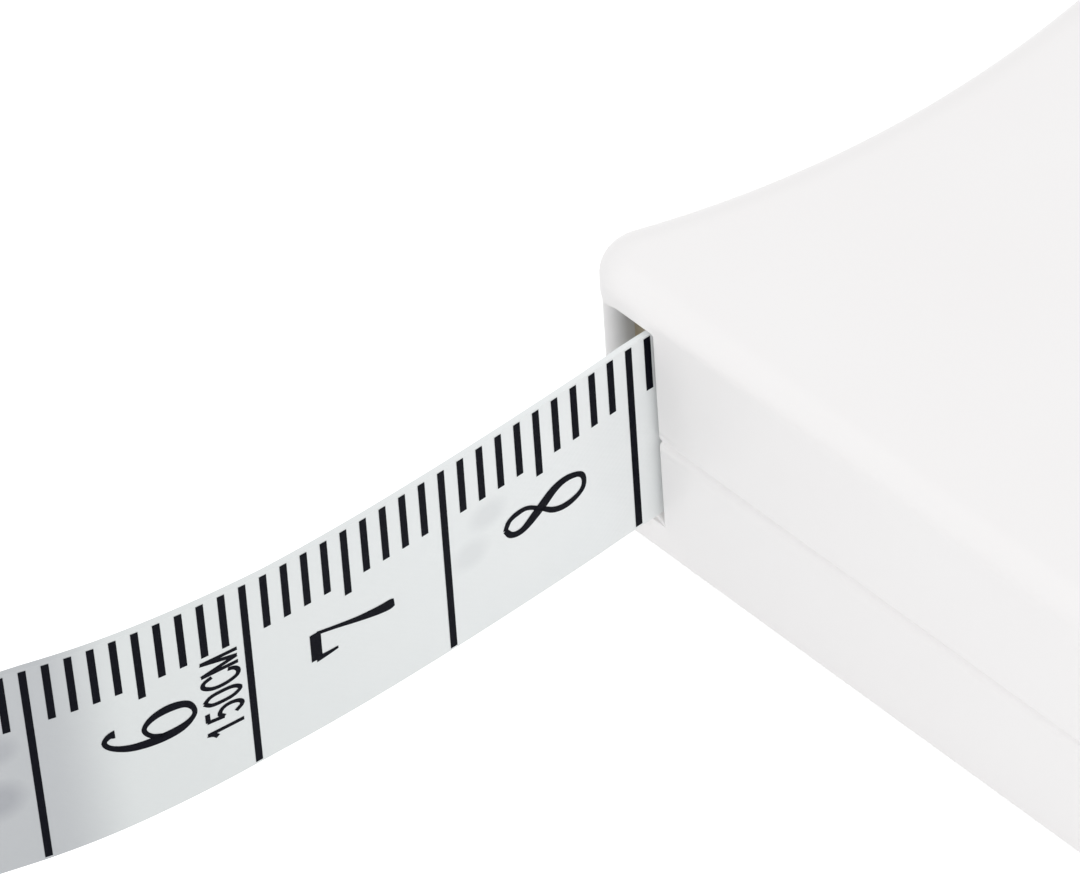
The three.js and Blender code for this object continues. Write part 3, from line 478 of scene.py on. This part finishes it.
def tab_ring(inset, y):
    corners = []
    for x, z, radius, start in (
        (TAB_LENGTH, -TAB_HALF_HEIGHT, TAB_FREE_CORNER, -90),
        (TAB_LENGTH, TAB_HALF_HEIGHT, TAB_FREE_CORNER, 0),
        (0, TAB_HALF_HEIGHT, TAB_TAPE_CORNER, 90),
        (0, -TAB_HALF_HEIGHT, TAB_TAPE_CORNER, 180),
    ):
        centre = (x - math.copysign(radius, x - TAB_LENGTH / 2), z - math.copysign(radius, z))
        corners.append(arc(centre, radius - inset, math.radians(start), math.radians(start + 90), 8))
    flat = np.vstack(corners)
    return np.column_stack((flat[:, 0], np.full(len(flat), y), flat[:, 1]))


half = TAB_THICKNESS / 2
tab_profile = rounded((TAB_EDGE_RADIUS, -half), (0, TAB_EDGE_RADIUS - half), 6, False)
tab_profile += [(inset, -y) for inset, y in reversed(tab_profile)]
tab = joined_rings("ribbed_finger_tab", [tab_ring(inset, y) for inset, y in tab_profile])
rib_profile = [(RIB_RADIUS * math.sin(turn) + 0.01, RIB_HALF_LENGTH + RIB_RADIUS * (math.cos(turn) - 1))
               for turn in np.linspace(0, math.pi / 2, 7)]
rib_profile += [(radius, -z) for radius, z in reversed(rib_profile)]
for x in RIB_PLACES:
    for y in (-half, half):
        combine(tab, lathe("tool", rib_profile, (x, y), 24), "UNION")
tape_slot_low = (-1, -SLOT_HALF_THICK, -SLOT_HALF_HEIGHT)
tape_slot_high = (SLOT_REACH, SLOT_HALF_THICK, SLOT_HALF_HEIGHT)
combine(tab, box("tool", tape_slot_low, tape_slot_high), "DIFFERENCE")
lying = Matrix.Rotation(math.pi / 2, 4, "X")
for z in RIVET_HEIGHTS:
    hole = lathe("tool", [(RIVET_HOLE_RADIUS, -half - 1), (RIVET_HOLE_RADIUS, half + 1)])
    hole.data.transform(Matrix.Translation((RIVET_PLACE * MM, 0, z * MM)) @ lying)
    combine(tab, hole, "DIFFERENCE")
tab_side = np.array((-TAB_ALONG[1], TAB_ALONG[0], 0))
tab_place = Matrix((TAB_ALONG, tab_side, (0, 0, 1))).transposed().to_4x4()
tab_place.translation = Vector(MM * (TAPE_END - TAB_OVERLAP * TAB_ALONG))
tab.data.transform(tab_place)
smooth_shaded(tab, 40)

# White ABS: clean white, satin from a finely etched mould. The etched grain is about 0.05 mm, drawn at
# 0.16 mm because it would be too fine to show.
GRAIN_MM = 0.16
abs_plastic, tree, shader = new_material("satin_white_abs", {})
place = add_node(tree, "ShaderNodeTexCoord").outputs["Object"]
flow = add_node(tree, "ShaderNodeTexNoise", {"Vector": place, "Scale": 1 / (9 * MM), "Detail": 3})
tone = add_node(tree, "ShaderNodeMix", {
    "Factor": flow.outputs["Fac"], 6: linear("#f2f0f0"), 7: linear("#f4f3f3"),
}, data_type="RGBA")
tree.links.new(tone.outputs[2], shader.inputs["Base Color"])
grain = add_node(tree, "ShaderNodeTexNoise", {"Vector": place, "Scale": 1 / (GRAIN_MM * MM), "Detail": 2})
gloss = add_node(tree, "ShaderNodeMapRange", {
    "Value": grain.outputs["Fac"], "To Min": 0.36, "To Max": 0.48,
})
tree.links.new(gloss.outputs[0], shader.inputs["Roughness"])
bump = add_node(tree, "ShaderNodeBump", {
    "Height": grain.outputs["Fac"], "Strength": 0.12, "Distance": 0.02 * MM,
})
tree.links.new(bump.outputs[0], shader.inputs["Normal"])
tab.data.materials.clear()
tab.data.materials.append(abs_plastic)
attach(tab, "tape")
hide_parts("finger_tab")

# Tab rivets. Two zinc plated steel rivets through the tab and the punched tape, set with a low dome on each
# side.
RIVET_RADIUS, RIVET_HEAD_RADIUS = 0.8, 1.1
RIVET_HEAD_FACE, RIVET_TOP = 1.75, 2.1

# Zinc plate on steel: bright bluish grey metal, slightly cloudy and a little rougher where it has been
# rubbed.
zinc, tree, shader = new_material("zinc_plated_steel", {"Metallic": 1.0})
place = add_node(tree, "ShaderNodeTexCoord").outputs["Object"]
cloudy = add_node(tree, "ShaderNodeTexNoise", {"Vector": place, "Scale": 1 / (0.6 * MM), "Detail": 4})
tone = add_node(tree, "ShaderNodeMix", {
    "Factor": cloudy.outputs["Fac"], 6: linear("#bcc1c6"), 7: linear("#d0d2d3"),
}, data_type="RGBA")
tree.links.new(tone.outputs[2], shader.inputs["Base Color"])
gloss = add_node(tree, "ShaderNodeMapRange", {
    "Value": cloudy.outputs["Fac"], "To Min": 0.24, "To Max": 0.42,
})
tree.links.new(gloss.outputs[0], shader.inputs["Roughness"])

for which, z in zip(("lower", "upper"), RIVET_HEIGHTS):
    dome = rounded((RIVET_HEAD_RADIUS, RIVET_HEAD_FACE), (0.1, RIVET_TOP), 8, True)
    profile = [(RIVET_RADIUS, 0), (RIVET_RADIUS, RIVET_HEAD_FACE), *dome]
    profile = [(radius, -height) for radius, height in reversed(profile)] + profile[1:]
    rivet = lathe(f"domed_rivet_{which}", profile)
    rivet.data.transform(tab_place @ Matrix.Translation((RIVET_PLACE * MM, 0, z * MM)) @ lying)
    smooth_shaded(rivet, 40)
    rivet.data.materials.append(zinc)
    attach(rivet, "tape")
    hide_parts(f"tab_rivet_{which}")

# Case. Two ABS shells, injection moulded in white with a fine satin surface, that meet at mid height in a
# shallow groove. The flank is straight, both sides are hollow, and the tape's mouth is a slot at one horn.
HEAD_RADIUS, WAIST_RADIUS, HORN_RADIUS = 26, 46.6, 2.15
WAIST_CENTRE = np.array((-70.7, -8.400303))
HORN_CENTRE = np.array((-28.015577, -31.950303))
REEL_AXIS = np.array((0, 8.100303))
FLANK_Y = -34.100303
CASE_HEIGHT, ROOF_Z, FLOOR_Z = 17.2, 15.75, 2.35
LOWER_RIM, UPPER_RIM = 8.05, 8.05
WALL = 1.3
INNER_FACE_INSET = WALL + 0.4    # flat roof and floor inside
TOP_EDGE_INWARD, TOP_EDGE_DOWN = 1.4, 1.05
BOTTOM_EDGE_RADIUS = 0.5
# Inset and height over the rim, or depth below it, of the groove's two sides
UPPER_LIP = ((0.22, 0), (0.13, 0.25), (0.06, 0.5), (0.02, 0.75), (0, 1.1))
LOWER_LIP = ((0, 0.6), (0, 0.55), (0.015, 0.4), (0.06, 0.22), (0.13, 0.09), (0.22, 0))
WALL_DRAFT = 0.05
MOUTH_LEFT, MOUTH_RIGHT = -28.83, -25.878
MOUTH_TOP, MOUTH_TOP_AT_HORN = 15.54, 15.08
MOUTH_TOP_BEND = (-27.9, -29.1)
MOUTH_EDGE_RADIUS = 0.14
MOUTH_DEPTH = 2.1
MOUTH_FLOOR = FLOOR_Z + 0.01
MOUTH_PAST_HORN = 2          # how far the cut runs out past the horn
MOUTH_PAST_FLANK = (0.5, 1.2, 2.2, 4, 7, 12, 18)    # and past the flank, in steps
HORN_END_RADIUS = 0.6        # the thin wall left of the slot ends in a full round
BUTTON_OPENING_RADIUS = 7.6
BOSSES = {
    "front_right": (23.227516, -29.400303), "front_left": (-17.902516, -29.400303),
    "back_right": (11.843696, 27.054178), "back_left": (-11.843696, 27.054178),
}
BOSS_RADIUS, HEAD_HOLE_RADIUS, SHANK_HOLE_RADIUS = 2.5, 1.75, 1.05
POST_RADIUS, POST_TOP, POST_BORE, POST_BORE_FLOOR = 2.8, 10.75, 2.4, 2.95
POST_SLOT_DEPTH, POST_SLOT_HALF_WIDTH = 0.8, 0.45    # for the power spring's inner tail
POST_SLOT_LOW, POST_SLOT_HIGH = 2.8, 8.85
SMOOTHING_STRIP = 0.06       # narrow strip beside a flat face, so that only it takes up the edge's shading

# Inside faces of the shells, drawn ivory: a painted warm cast, which turns the slot's shade
# brown.
inner_abs, tree, shader = new_material("ivory_warm_cast_abs", {"Roughness": 0.55})
place = add_node(tree, "ShaderNodeTexCoord").outputs["Object"]
flow = add_node(tree, "ShaderNodeTexNoise", {"Vector": place, "Scale": 1 / (9 * MM), "Detail": 3})
tone = add_node(tree, "ShaderNodeMix", {
    "Factor": flow.outputs["Fac"], 6: linear("#e6d8bd"), 7: linear("#ebdec6"),
}, data_type="RGBA")
tree.links.new(tone.outputs[2], shader.inputs["Base Color"])


def case_ring(inset, z):
    """The case's outline at one height: horn, hollow side and round head, mirrored, and the straight flank."""
    to_waist = WAIST_CENTRE - HORN_CENTRE
    horn_turn = math.atan2(to_waist[1], to_waist[0]) - 2 * math.pi
    waist_start = math.atan2(-to_waist[1], -to_waist[0])
    to_axis = REEL_AXIS - WAIST_CENTRE
    waist_end = math.atan2(to_axis[1], to_axis[0])
    left = np.vstack((
        arc(HORN_CENTRE, HORN_RADIUS - inset, -math.pi / 2, horn_turn, 28),
        arc(WAIST_CENTRE, WAIST_RADIUS + inset, waist_start, waist_end, 56)[1:],
        arc(REEL_AXIS, HEAD_RADIUS - inset, math.pi + waist_end, math.pi / 2, 64)[1:],
    ))
    right = left[-2::-1] * (-1, 1)
    flank_x = np.concatenate(([-SMOOTHING_STRIP], np.linspace(-2, 2 * HORN_CENTRE[0] + 2, 24),
                              [2 * HORN_CENTRE[0] + SMOOTHING_STRIP]))
    flank = np.column_stack((flank_x - HORN_CENTRE[0], np.full(len(flank_x), FLANK_Y + inset)))
    ring = np.vstack((left, right, flank))
    return np.column_stack((ring, np.full(len(ring), z)))


def case_shell(name, profile, inner_rows):
    """A shell from rows of inset and height, its inner rows and inner cap in the second material."""
    shell = joined_rings(name, [case_ring(inset, z) for inset, z in profile])
    shell.data.materials.append(abs_plastic)
    shell.data.materials.append(inner_abs)
    count = len(case_ring(0, 0))
    first, last = (count * row for row in inner_rows)
    for polygon in shell.data.polygons[first:last]:
        polygon.material_index = 1
    shell.data.polygons[-2 if first == 0 else -1].material_index = 1
    return shell


def mouth_tool():
    """The slot, as upright frames from behind the wall to clear of it, each from a left to a right place."""
    end_x = MOUTH_LEFT - HORN_END_RADIUS
    reach = HORN_RADIUS - HORN_END_RADIUS
    end_y = HORN_CENTRE[1] - math.sqrt(reach ** 2 - (end_x - HORN_CENTRE[0]) ** 2)
    tangent = math.atan2(end_y - HORN_CENTRE[1], end_x - HORN_CENTRE[0])
    clear = np.array((math.cos(tangent), math.sin(tangent)))
    lean = RUN_DIRECTION[0] / RUN_DIRECTION[1]
    edge, deep = MOUTH_EDGE_RADIUS, FLANK_Y + MOUTH_DEPTH
    left = np.vstack((
        [(MOUTH_LEFT, deep)],
        arc((end_x, end_y), HORN_END_RADIUS, 0, tangent, 12),
        [HORN_CENTRE + (HORN_RADIUS + MOUTH_PAST_HORN) * clear],
    ))
    right = np.vstack((
        [(MOUTH_RIGHT + lean * MOUTH_DEPTH, deep)],
        arc((MOUTH_RIGHT + edge, FLANK_Y + edge), edge, -math.pi, -math.pi / 2, 6),
        [(MOUTH_RIGHT + edge, FLANK_Y - away) for away in MOUTH_PAST_FLANK],
    ))
    turned_out = 1 - np.cos(np.linspace(0, math.pi / 2, 7))
    flare = edge * np.concatenate(([0], turned_out, np.ones(len(MOUTH_PAST_FLANK))))
    rings = []
    for (x0, y0), (x1, y1), out in zip(left, right, flare):
        share = np.linspace(0, 1, 25)
        x, y = x0 + (x1 - x0) * share, y0 + (y1 - y0) * share
        fall = np.clip((x - MOUTH_TOP_BEND[0]) / (MOUTH_TOP_BEND[1] - MOUTH_TOP_BEND[0]), 0, 1)
        top = MOUTH_TOP + (MOUTH_TOP_AT_HORN - MOUTH_TOP) * fall * fall * (3 - 2 * fall) + out
        floor = np.full(len(x), MOUTH_FLOOR - out)
        rings.append(np.vstack((np.column_stack((x, y, floor)), np.column_stack((x, y, top))[::-1])))
    return joined_rings("mouth_tool", rings)


edge_top = CASE_HEIGHT - TOP_EDGE_DOWN
upper_profile = [
    (INNER_FACE_INSET, ROOF_Z), (WALL, ROOF_Z), (WALL, UPPER_RIM),
    *((inset, UPPER_RIM + height) for inset, height in UPPER_LIP),
    (WALL_DRAFT, edge_top - SMOOTHING_STRIP),
    *rounded((WALL_DRAFT, edge_top), (WALL_DRAFT + TOP_EDGE_INWARD, CASE_HEIGHT), 12, True),
    (WALL_DRAFT + TOP_EDGE_INWARD + SMOOTHING_STRIP, CASE_HEIGHT),
]
upper_shell = case_shell("upper_case_shell", upper_profile, (0, 2))
boss_low, boss_high, pilot_top = UPPER_RIM + 0.1, 16.5, 12.9
boss = [(BOSS_RADIUS, boss_low), (BOSS_RADIUS, boss_high)]
pilot = [(SHANK_HOLE_RADIUS, boss_low - 1), (SHANK_HOLE_RADIUS, pilot_top)]
for place in BOSSES.values():
    combine(upper_shell, lathe("tool", boss, place), "UNION")
    combine(upper_shell, lathe("tool", pilot, place, 24), "DIFFERENCE")
opening_edge = 0.25
opening = [(BUTTON_OPENING_RADIUS, ROOF_Z - 1), (BUTTON_OPENING_RADIUS, CASE_HEIGHT - opening_edge)]
opening += [
    (BUTTON_OPENING_RADIUS + opening_edge * (1 - math.cos(turn)),
     CASE_HEIGHT - opening_edge * (1 - math.sin(turn)))
    for turn in np.linspace(0.3, math.pi / 2, 4)
]
opening.append((BUTTON_OPENING_RADIUS + opening_edge, CASE_HEIGHT + 1))
combine(upper_shell, lathe("tool", opening, REEL_AXIS, 128), "DIFFERENCE")
combine(upper_shell, mouth_tool(), "DIFFERENCE")

lower_profile = [
    (BOTTOM_EDGE_RADIUS + SMOOTHING_STRIP, 0),
    *rounded((BOTTOM_EDGE_RADIUS, 0), (0, BOTTOM_EDGE_RADIUS), 6, False),
    (0, BOTTOM_EDGE_RADIUS + SMOOTHING_STRIP),
    *((inset, LOWER_RIM - height) for inset, height in LOWER_LIP),
    (WALL, LOWER_RIM), (WALL, FLOOR_Z), (INNER_FACE_INSET, FLOOR_Z),
]
rows = len(lower_profile)
lower_shell = case_shell("lower_case_shell", lower_profile, (rows - 3, rows - 1))
in_floor, boss_high, head_seat = 1, LOWER_RIM - 0.1, 1.9
post = [(POST_RADIUS, in_floor), (POST_RADIUS, POST_TOP)]
combine(lower_shell, lathe("tool", post, REEL_AXIS, 48), "UNION")
boss = [(BOSS_RADIUS, in_floor), (BOSS_RADIUS, boss_high)]
for place in BOSSES.values():
    combine(lower_shell, lathe("tool", boss, place), "UNION")
    for radius, high in ((HEAD_HOLE_RADIUS, head_seat), (SHANK_HOLE_RADIUS, boss_high + 1)):
        combine(lower_shell, lathe("tool", [(radius, -1), (radius, high)], place), "DIFFERENCE")
bore = POST_BORE / 2
bore_low = (-bore, REEL_AXIS[1] - bore, POST_BORE_FLOOR)
bore_high = (bore, REEL_AXIS[1] + bore, POST_TOP + 1)
combine(lower_shell, box("tool", bore_low, bore_high), "DIFFERENCE")
slot_low = (POST_RADIUS - POST_SLOT_DEPTH, REEL_AXIS[1] - POST_SLOT_HALF_WIDTH, POST_SLOT_LOW)
slot_high = (POST_RADIUS + 1, REEL_AXIS[1] + POST_SLOT_HALF_WIDTH, POST_SLOT_HIGH)
combine(lower_shell, box("tool", slot_low, slot_high), "DIFFERENCE")
combine(lower_shell, mouth_tool(), "DIFFERENCE")
for shell, node in ((upper_shell, "upper_shell"), (lower_shell, "lower_shell")):
    smooth_shaded(shell, 28)
    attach(shell, "case")
    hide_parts(node)

# Case screws. Four zinc plated self-tapping screws, put in from below, with a low pan head and a cross
# recess. The thread cuts its own way into the upper shell's bosses.
HEAD_LOW, HEAD_RIM, HEAD_TOP = 0.6, 1.0, 1.8
CROWN_RADIUS, SCREW_HEAD_RADIUS = 1.15, 1.55
CORE_RADIUS, THREAD_RADIUS, THREAD_PITCH = 0.6, 0.85, 0.7
THREAD_LOW, THREAD_HIGH, SCREW_TIP = 2.2, 11.2, 12.4
RECESS_WIDTH, RECESS_LENGTH, RECESS_DEPTH = 0.36, 1.6, 0.6
SCREW_SIDES = 24

turn = np.linspace(0, 2 * math.pi, SCREW_SIDES, endpoint=False)
screw_rows = [(radius, z) for z, radius in (
    (HEAD_LOW, CROWN_RADIUS - 0.3), (HEAD_LOW + 0.04, CROWN_RADIUS),
    (HEAD_LOW + 0.18, SCREW_HEAD_RADIUS - 0.1), (HEAD_RIM, SCREW_HEAD_RADIUS),
    (HEAD_TOP, SCREW_HEAD_RADIUS), (HEAD_TOP, CORE_RADIUS),
)]
for z in np.arange(THREAD_LOW, SCREW_TIP, THREAD_PITCH / 9):
    ridge = np.clip(1 - 3 * np.abs((z / THREAD_PITCH - turn / (2 * math.pi)) % 1 - 0.5), 0, 1)
    taper = np.clip((SCREW_TIP + 0.1 - z) / (SCREW_TIP - THREAD_HIGH), 0, 1)
    screw_rows.append((taper * (CORE_RADIUS + (THREAD_RADIUS - CORE_RADIUS) * ridge), z))
screw_form = joined_rings("screw_form", [
    np.column_stack((radius * np.cos(turn), radius * np.sin(turn), np.full(SCREW_SIDES, z)))
    for radius, z in screw_rows
])
for x, y in ((RECESS_LENGTH / 2, RECESS_WIDTH / 2), (RECESS_WIDTH / 2, RECESS_LENGTH / 2)):
    combine(screw_form, box("tool", (-x, -y, HEAD_LOW - 1), (x, y, HEAD_LOW + RECESS_DEPTH)), "DIFFERENCE")
smooth_shaded(screw_form, 40)
screw_form.data.materials.clear()
screw_form.data.materials.append(zinc)
for place, (x, y) in BOSSES.items():
    screw = bpy.data.objects.new(f"pan_head_screw_{place}", screw_form.data.copy())
    bpy.context.scene.collection.objects.link(screw)
    screw.data.transform(Matrix.Translation((x * MM, y * MM, 0)))
    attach(screw, "case")
    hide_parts(f"case_screw_{place}")
bpy.data.objects.remove(screw_form)

# Reel, wear rings and brake plunger. All moulded in grey acetal, which runs on ABS without oil: the drum,
# the lid pressed into it, the wedge that holds the tape's inner end, a thin ring above and below, and the
# stem and disc under the button.
# Acetal: a slightly waxy light grey, smooth, with faint flow marks from the mould.
acetal, tree, shader = new_material("grey_acetal", {})
place = add_node(tree, "ShaderNodeTexCoord").outputs["Object"]
flow = add_node(tree, "ShaderNodeTexNoise", {"Vector": place, "Scale": 1 / (6 * MM), "Detail": 4})
tone = add_node(tree, "ShaderNodeMix", {
    "Factor": flow.outputs["Fac"], 6: linear("#c3c6ca"), 7: linear("#cfd2d6"),
}, data_type="RGBA")
tree.links.new(tone.outputs[2], shader.inputs["Base Color"])
gloss = add_node(tree, "ShaderNodeMapRange", {"Value": flow.outputs["Fac"], "To Min": 0.34, "To Max": 0.46})
tree.links.new(gloss.outputs[0], shader.inputs["Roughness"])
for node in ("lower_wear_ring", "upper_wear_ring", "reel_drum", "reel_lid", "tape_anchor", "brake_plunger"):
    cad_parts[node].material_slots[0].material = acetal

# Power spring. A blued steel strip, wound in a flat spiral between the axle post and the drum's wall. Its
# inner tail sits in the post's slot. Its outer tail sits in a notch of the drum and turns with it, as a
# piece of its own.
SPRING_STRIP, SPRING_LOW, SPRING_HIGH = 0.25, 3.1, 8.55
SPRING_TURNS, SPRING_FIRST, SPRING_LAST = 7, 3.25, 9.35
SPRING_BEND = 0.2            # where the inner tail turns into the spiral
INNER_TAIL, OUTER_TAIL = 2.3, (9.5, 10.3)    # from the reel's axis


def spring_strip(name, line):
    along = unit(np.gradient(line, axis=0))
    half = SPRING_STRIP / 2 * np.column_stack((-along[:, 1], along[:, 0]))
    return joined_rings(name, [
        np.array([
            (*left, SPRING_LOW), (*right, SPRING_LOW), (*right, SPRING_HIGH), (*left, SPRING_HIGH),
        ]) for left, right in zip(REEL_AXIS + line + half, REEL_AXIS + line - half)
    ])


turn = np.linspace(math.asin(SPRING_BEND / SPRING_FIRST), 2 * math.pi * SPRING_TURNS, 72 * SPRING_TURNS)
radius = SPRING_FIRST + (SPRING_LAST - SPRING_FIRST) * turn / turn[-1]
bend = arc((SPRING_FIRST - SPRING_BEND, SPRING_BEND), SPRING_BEND, -math.pi / 2, 0, 6)
spiral = np.column_stack((radius * np.cos(turn), radius * np.sin(turn)))
power_spring = spring_strip("spiral_power_spring", np.vstack(([(INNER_TAIL, 0)], bend[:-1], spiral)))
spring_tail = spring_strip("power_spring_tail", np.array([(distance, 0) for distance in OUTER_TAIL]))

# Blued spring steel: dark blue-grey metal with drifts of straw and violet from the heat.
blued, tree, shader = new_material("blued_spring_steel", {"Metallic": 1.0})
place = add_node(tree, "ShaderNodeTexCoord").outputs["Object"]
heat = add_node(tree, "ShaderNodeTexNoise", {"Vector": place, "Scale": 1 / (5 * MM), "Detail": 3})
tone = add_node(tree, "ShaderNodeMix", {
    "Factor": heat.outputs["Fac"], 6: linear("#59657a"), 7: linear("#8a857f"),
}, data_type="RGBA")
tree.links.new(tone.outputs[2], shader.inputs["Base Color"])
gloss = add_node(tree, "ShaderNodeMapRange", {"Value": heat.outputs["Fac"], "To Min": 0.25, "To Max": 0.4})
tree.links.new(gloss.outputs[0], shader.inputs["Roughness"])
for piece, body in ((power_spring, "case"), (spring_tail, "reel")):
    smooth_shaded(piece, 40)
    piece.data.materials.append(blued)
    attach(piece, body)
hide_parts("power_spring")

# Wound tape. The rest of the tape, in some sixteen tight turns round the drum, and the short run from its
# outer turn to where the free tape takes over.
WINDING_RADIUS, WINDING_BORE, WINDING_PITCH = 15.872, 11.2, 0.28
RUN_TURN = 0.223656
RUN_START = -46.6            # where the tape leaves the winding, along its run from the mouth
turns = (WINDING_RADIUS - WINDING_BORE) / WINDING_PITCH - 0.5
turn = np.linspace(0, turns, round(72 * turns))
radius = WINDING_RADIUS - WINDING_PITCH * (turn + 0.5)
angle = math.pi - RUN_TURN - 2 * math.pi * turn
out = np.column_stack((np.cos(angle), np.sin(angle), np.zeros(len(turn))))
wound_line = np.array((*REEL_AXIS, TAPE_AT_MOUTH[2])) + radius[:, None] * out
wound_length = np.concatenate(([0], np.cumsum(np.linalg.norm(np.diff(wound_line, axis=0), axis=1))))
upright = np.tile((0.0, 0.0, 1.0), (len(turn), 1))
wound = tape_strip("wound_tape", wound_line, out, upright, marks[0] - RUN_START + wound_length, 1)
wound.data.materials.append(cloth)
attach(wound, "reel")
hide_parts("tape_winding")

run_steps = np.linspace(RUN_START, INSIDE_STEPS[0] + 0.5, 12)
run_line = TAPE_AT_MOUTH + np.outer(run_steps, RUN_DIRECTION)
run_side = np.tile((RUN_DIRECTION[1], -RUN_DIRECTION[0], 0), (len(run_steps), 1))
run_up = upright[:len(run_steps)]
inner_run = tape_strip("tape_inner_run", run_line, run_side, run_up, marks[0] - run_steps, 1)
inner_run.data.materials.append(cloth)
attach(inner_run, "case")

# Button spring. A coil of spring steel wire in the post's square bore, its end turns closed, that pushes the
# plunger and the button up.
COIL_LOW, COIL_HIGH, COIL_RADIUS, WIRE_RADIUS = 3.05, 6.13, 0.82, 0.15
COIL_TURNS, CLOSED_TURNS = 6, 1
low, high = COIL_LOW + WIRE_RADIUS, COIL_HIGH - WIRE_RADIUS
closed_rise = 2.05 * WIRE_RADIUS * CLOSED_TURNS
rise = np.interp(
    np.linspace(0, COIL_TURNS, 24 * COIL_TURNS + 1),
    (0, CLOSED_TURNS, COIL_TURNS - CLOSED_TURNS, COIL_TURNS),
    (low, low + closed_rise, high - closed_rise, high),
)
coil_rings = []
for angle, z in zip(np.linspace(0, 2 * math.pi * COIL_TURNS, len(rise)), rise):
    wire = arc((COIL_RADIUS, z), WIRE_RADIUS, 0, 2 * math.pi, 10)[:-1]
    coil_rings.append(np.column_stack((
        wire[:, 0] * math.cos(angle) + REEL_AXIS[0], wire[:, 0] * math.sin(angle) + REEL_AXIS[1], wire[:, 1],
    )))
coil = joined_rings("button_coil", coil_rings)
smooth_shaded(coil, 40)
coil.data.materials.append(blued)
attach(coil, "case")
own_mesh(coil)
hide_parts("button_spring")

# Brake pad. A moulded rubber ring, bonded to the plunger's disc, that grips the reel's lid from below.
# Brake rubber: black, dull, faintly grainy.
rubber, tree, shader = new_material("brake_rubber", {"Roughness": 0.8, "Base Color": linear("#1d1d1f")})
place = add_node(tree, "ShaderNodeTexCoord").outputs["Object"]
grain = add_node(tree, "ShaderNodeTexNoise", {"Vector": place, "Scale": 1 / (0.2 * MM), "Detail": 2})
bump = add_node(tree, "ShaderNodeBump", {
    "Height": grain.outputs["Fac"], "Strength": 0.3, "Distance": 0.03 * MM,
})
tree.links.new(bump.outputs[0], shader.inputs["Normal"])
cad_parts["brake_pad"].material_slots[0].material = rubber

# Push button. A white ABS cup, moulded like the case, that stands just proud of the top. Its face is dished
# for a fingertip and its rim is rounded; pressing it takes the brake off the reel.
BUTTON_RADIUS, BUTTON_LOW, BUTTON_HIGH, BUTTON_ROOF = 7.3, 13.5, 18.4, 17.2
BUTTON_WALL, BUTTON_EDGE_RADIUS, BUTTON_DISH = 1.2, 0.6, 0.35
BUTTON_CHAMFER = 0.15
button_bore = BUTTON_RADIUS - BUTTON_WALL
dish_radius = BUTTON_RADIUS - 2 * BUTTON_EDGE_RADIUS
button_edge = rounded((0, BUTTON_HIGH - BUTTON_EDGE_RADIUS), (BUTTON_EDGE_RADIUS, BUTTON_HIGH), 8, True)
button = lathe("dished_push_button", [
    (0.2, BUTTON_ROOF), (button_bore, BUTTON_ROOF), (button_bore, BUTTON_LOW),
    (BUTTON_RADIUS - BUTTON_CHAMFER, BUTTON_LOW), (BUTTON_RADIUS, BUTTON_LOW + BUTTON_CHAMFER),
    *((BUTTON_RADIUS - inset, z) for inset, z in button_edge),
    *((dish_radius * share, BUTTON_HIGH - BUTTON_DISH * (1 - share ** 2) ** 1.3)
      for share in np.linspace(1, 0.02, 16)),
], REEL_AXIS, 128)
smooth_shaded(button, 40)
button.data.materials.append(abs_plastic)
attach(button, "button")
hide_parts("push_button")

# Floor and light. A white table under a wide, even light from above, as in a light tent, and a low fill from
# the front.
TABLE_HALF = 2000
TABLE_DROP = 0.05            # under the case, so that no two faces lie in one plane
TABLE_GLOW = 0.55            # added where the table itself is seen, so that it is white
TENT_STRENGTH, TENT_SEEN = 0.88, 1.0
LAMP_SIZE = 0.6
LAMP_AIM = Vector((-0.03, -0.04, 0.01))
floor = new_piece("white_table", [
    (x * TABLE_HALF, y * TABLE_HALF, -TABLE_DROP) for x, y in ((-1, -1), (1, -1), (1, 1), (-1, 1))
], [(0, 1, 2, 3)])


def seen_itself(tree):
    """1 for rays that show a surface itself, straight, in a gloss or through glass, and 0 for its light."""
    rays = add_node(tree, "ShaderNodeLightPath").outputs
    seen = rays["Is Camera Ray"]
    for ray in ("Is Glossy Ray", "Is Transmission Ray"):
        seen = add_node(tree, "ShaderNodeMath", {0: seen, 1: rays[ray]}, operation="MAXIMUM").outputs[0]
    return seen


# White laminate: an even, dull white.
table, tree, shader = new_material("white_table_laminate", {
    "Roughness": 0.9, "Base Color": linear("#ececec"),
})
lit = add_node(tree, "ShaderNodeMath", {0: seen_itself(tree), 1: TABLE_GLOW}, operation="MULTIPLY")
shine = add_node(tree, "ShaderNodeEmission", {"Color": (1, 1, 1, 1), "Strength": lit.outputs[0]})
both = add_node(tree, "ShaderNodeAddShader", {0: shader.outputs[0], 1: shine.outputs[0]})
tree.links.new(both.outputs[0], tree.nodes["Material Output"].inputs["Surface"])
floor.data.materials.append(table)

world = bpy.data.worlds.new("light_tent")
bpy.context.scene.world = world
world.use_nodes = True
tree = world.node_tree
background = tree.nodes["Background"]
strength = add_node(tree, "ShaderNodeMapRange", {
    "Value": seen_itself(tree), "To Min": TENT_STRENGTH, "To Max": TENT_SEEN,
})
tree.links.new(strength.outputs[0], background.inputs["Strength"])
background.inputs["Color"].default_value = (1, 1, 1, 1)

for name, energy, place in (
    ("soft_box", 0.6, (-0.2, 0.1, 0.8)),
    ("low_front_fill", 1.15, (0.5, -0.6, 0.18)),
):
    lamp_data = bpy.data.lights.new(name, "AREA")
    lamp_data.shape = "DISK"
    lamp_data.size = LAMP_SIZE
    lamp_data.energy = energy
    lamp = bpy.data.objects.new(name, lamp_data)
    bpy.context.scene.collection.objects.link(lamp)
    lamp.location = place
    lamp.rotation_euler = (LAMP_AIM - lamp.location).to_track_quat("-Z", "Y").to_euler()

bpy.context.scene.view_settings.view_transform = "Standard"
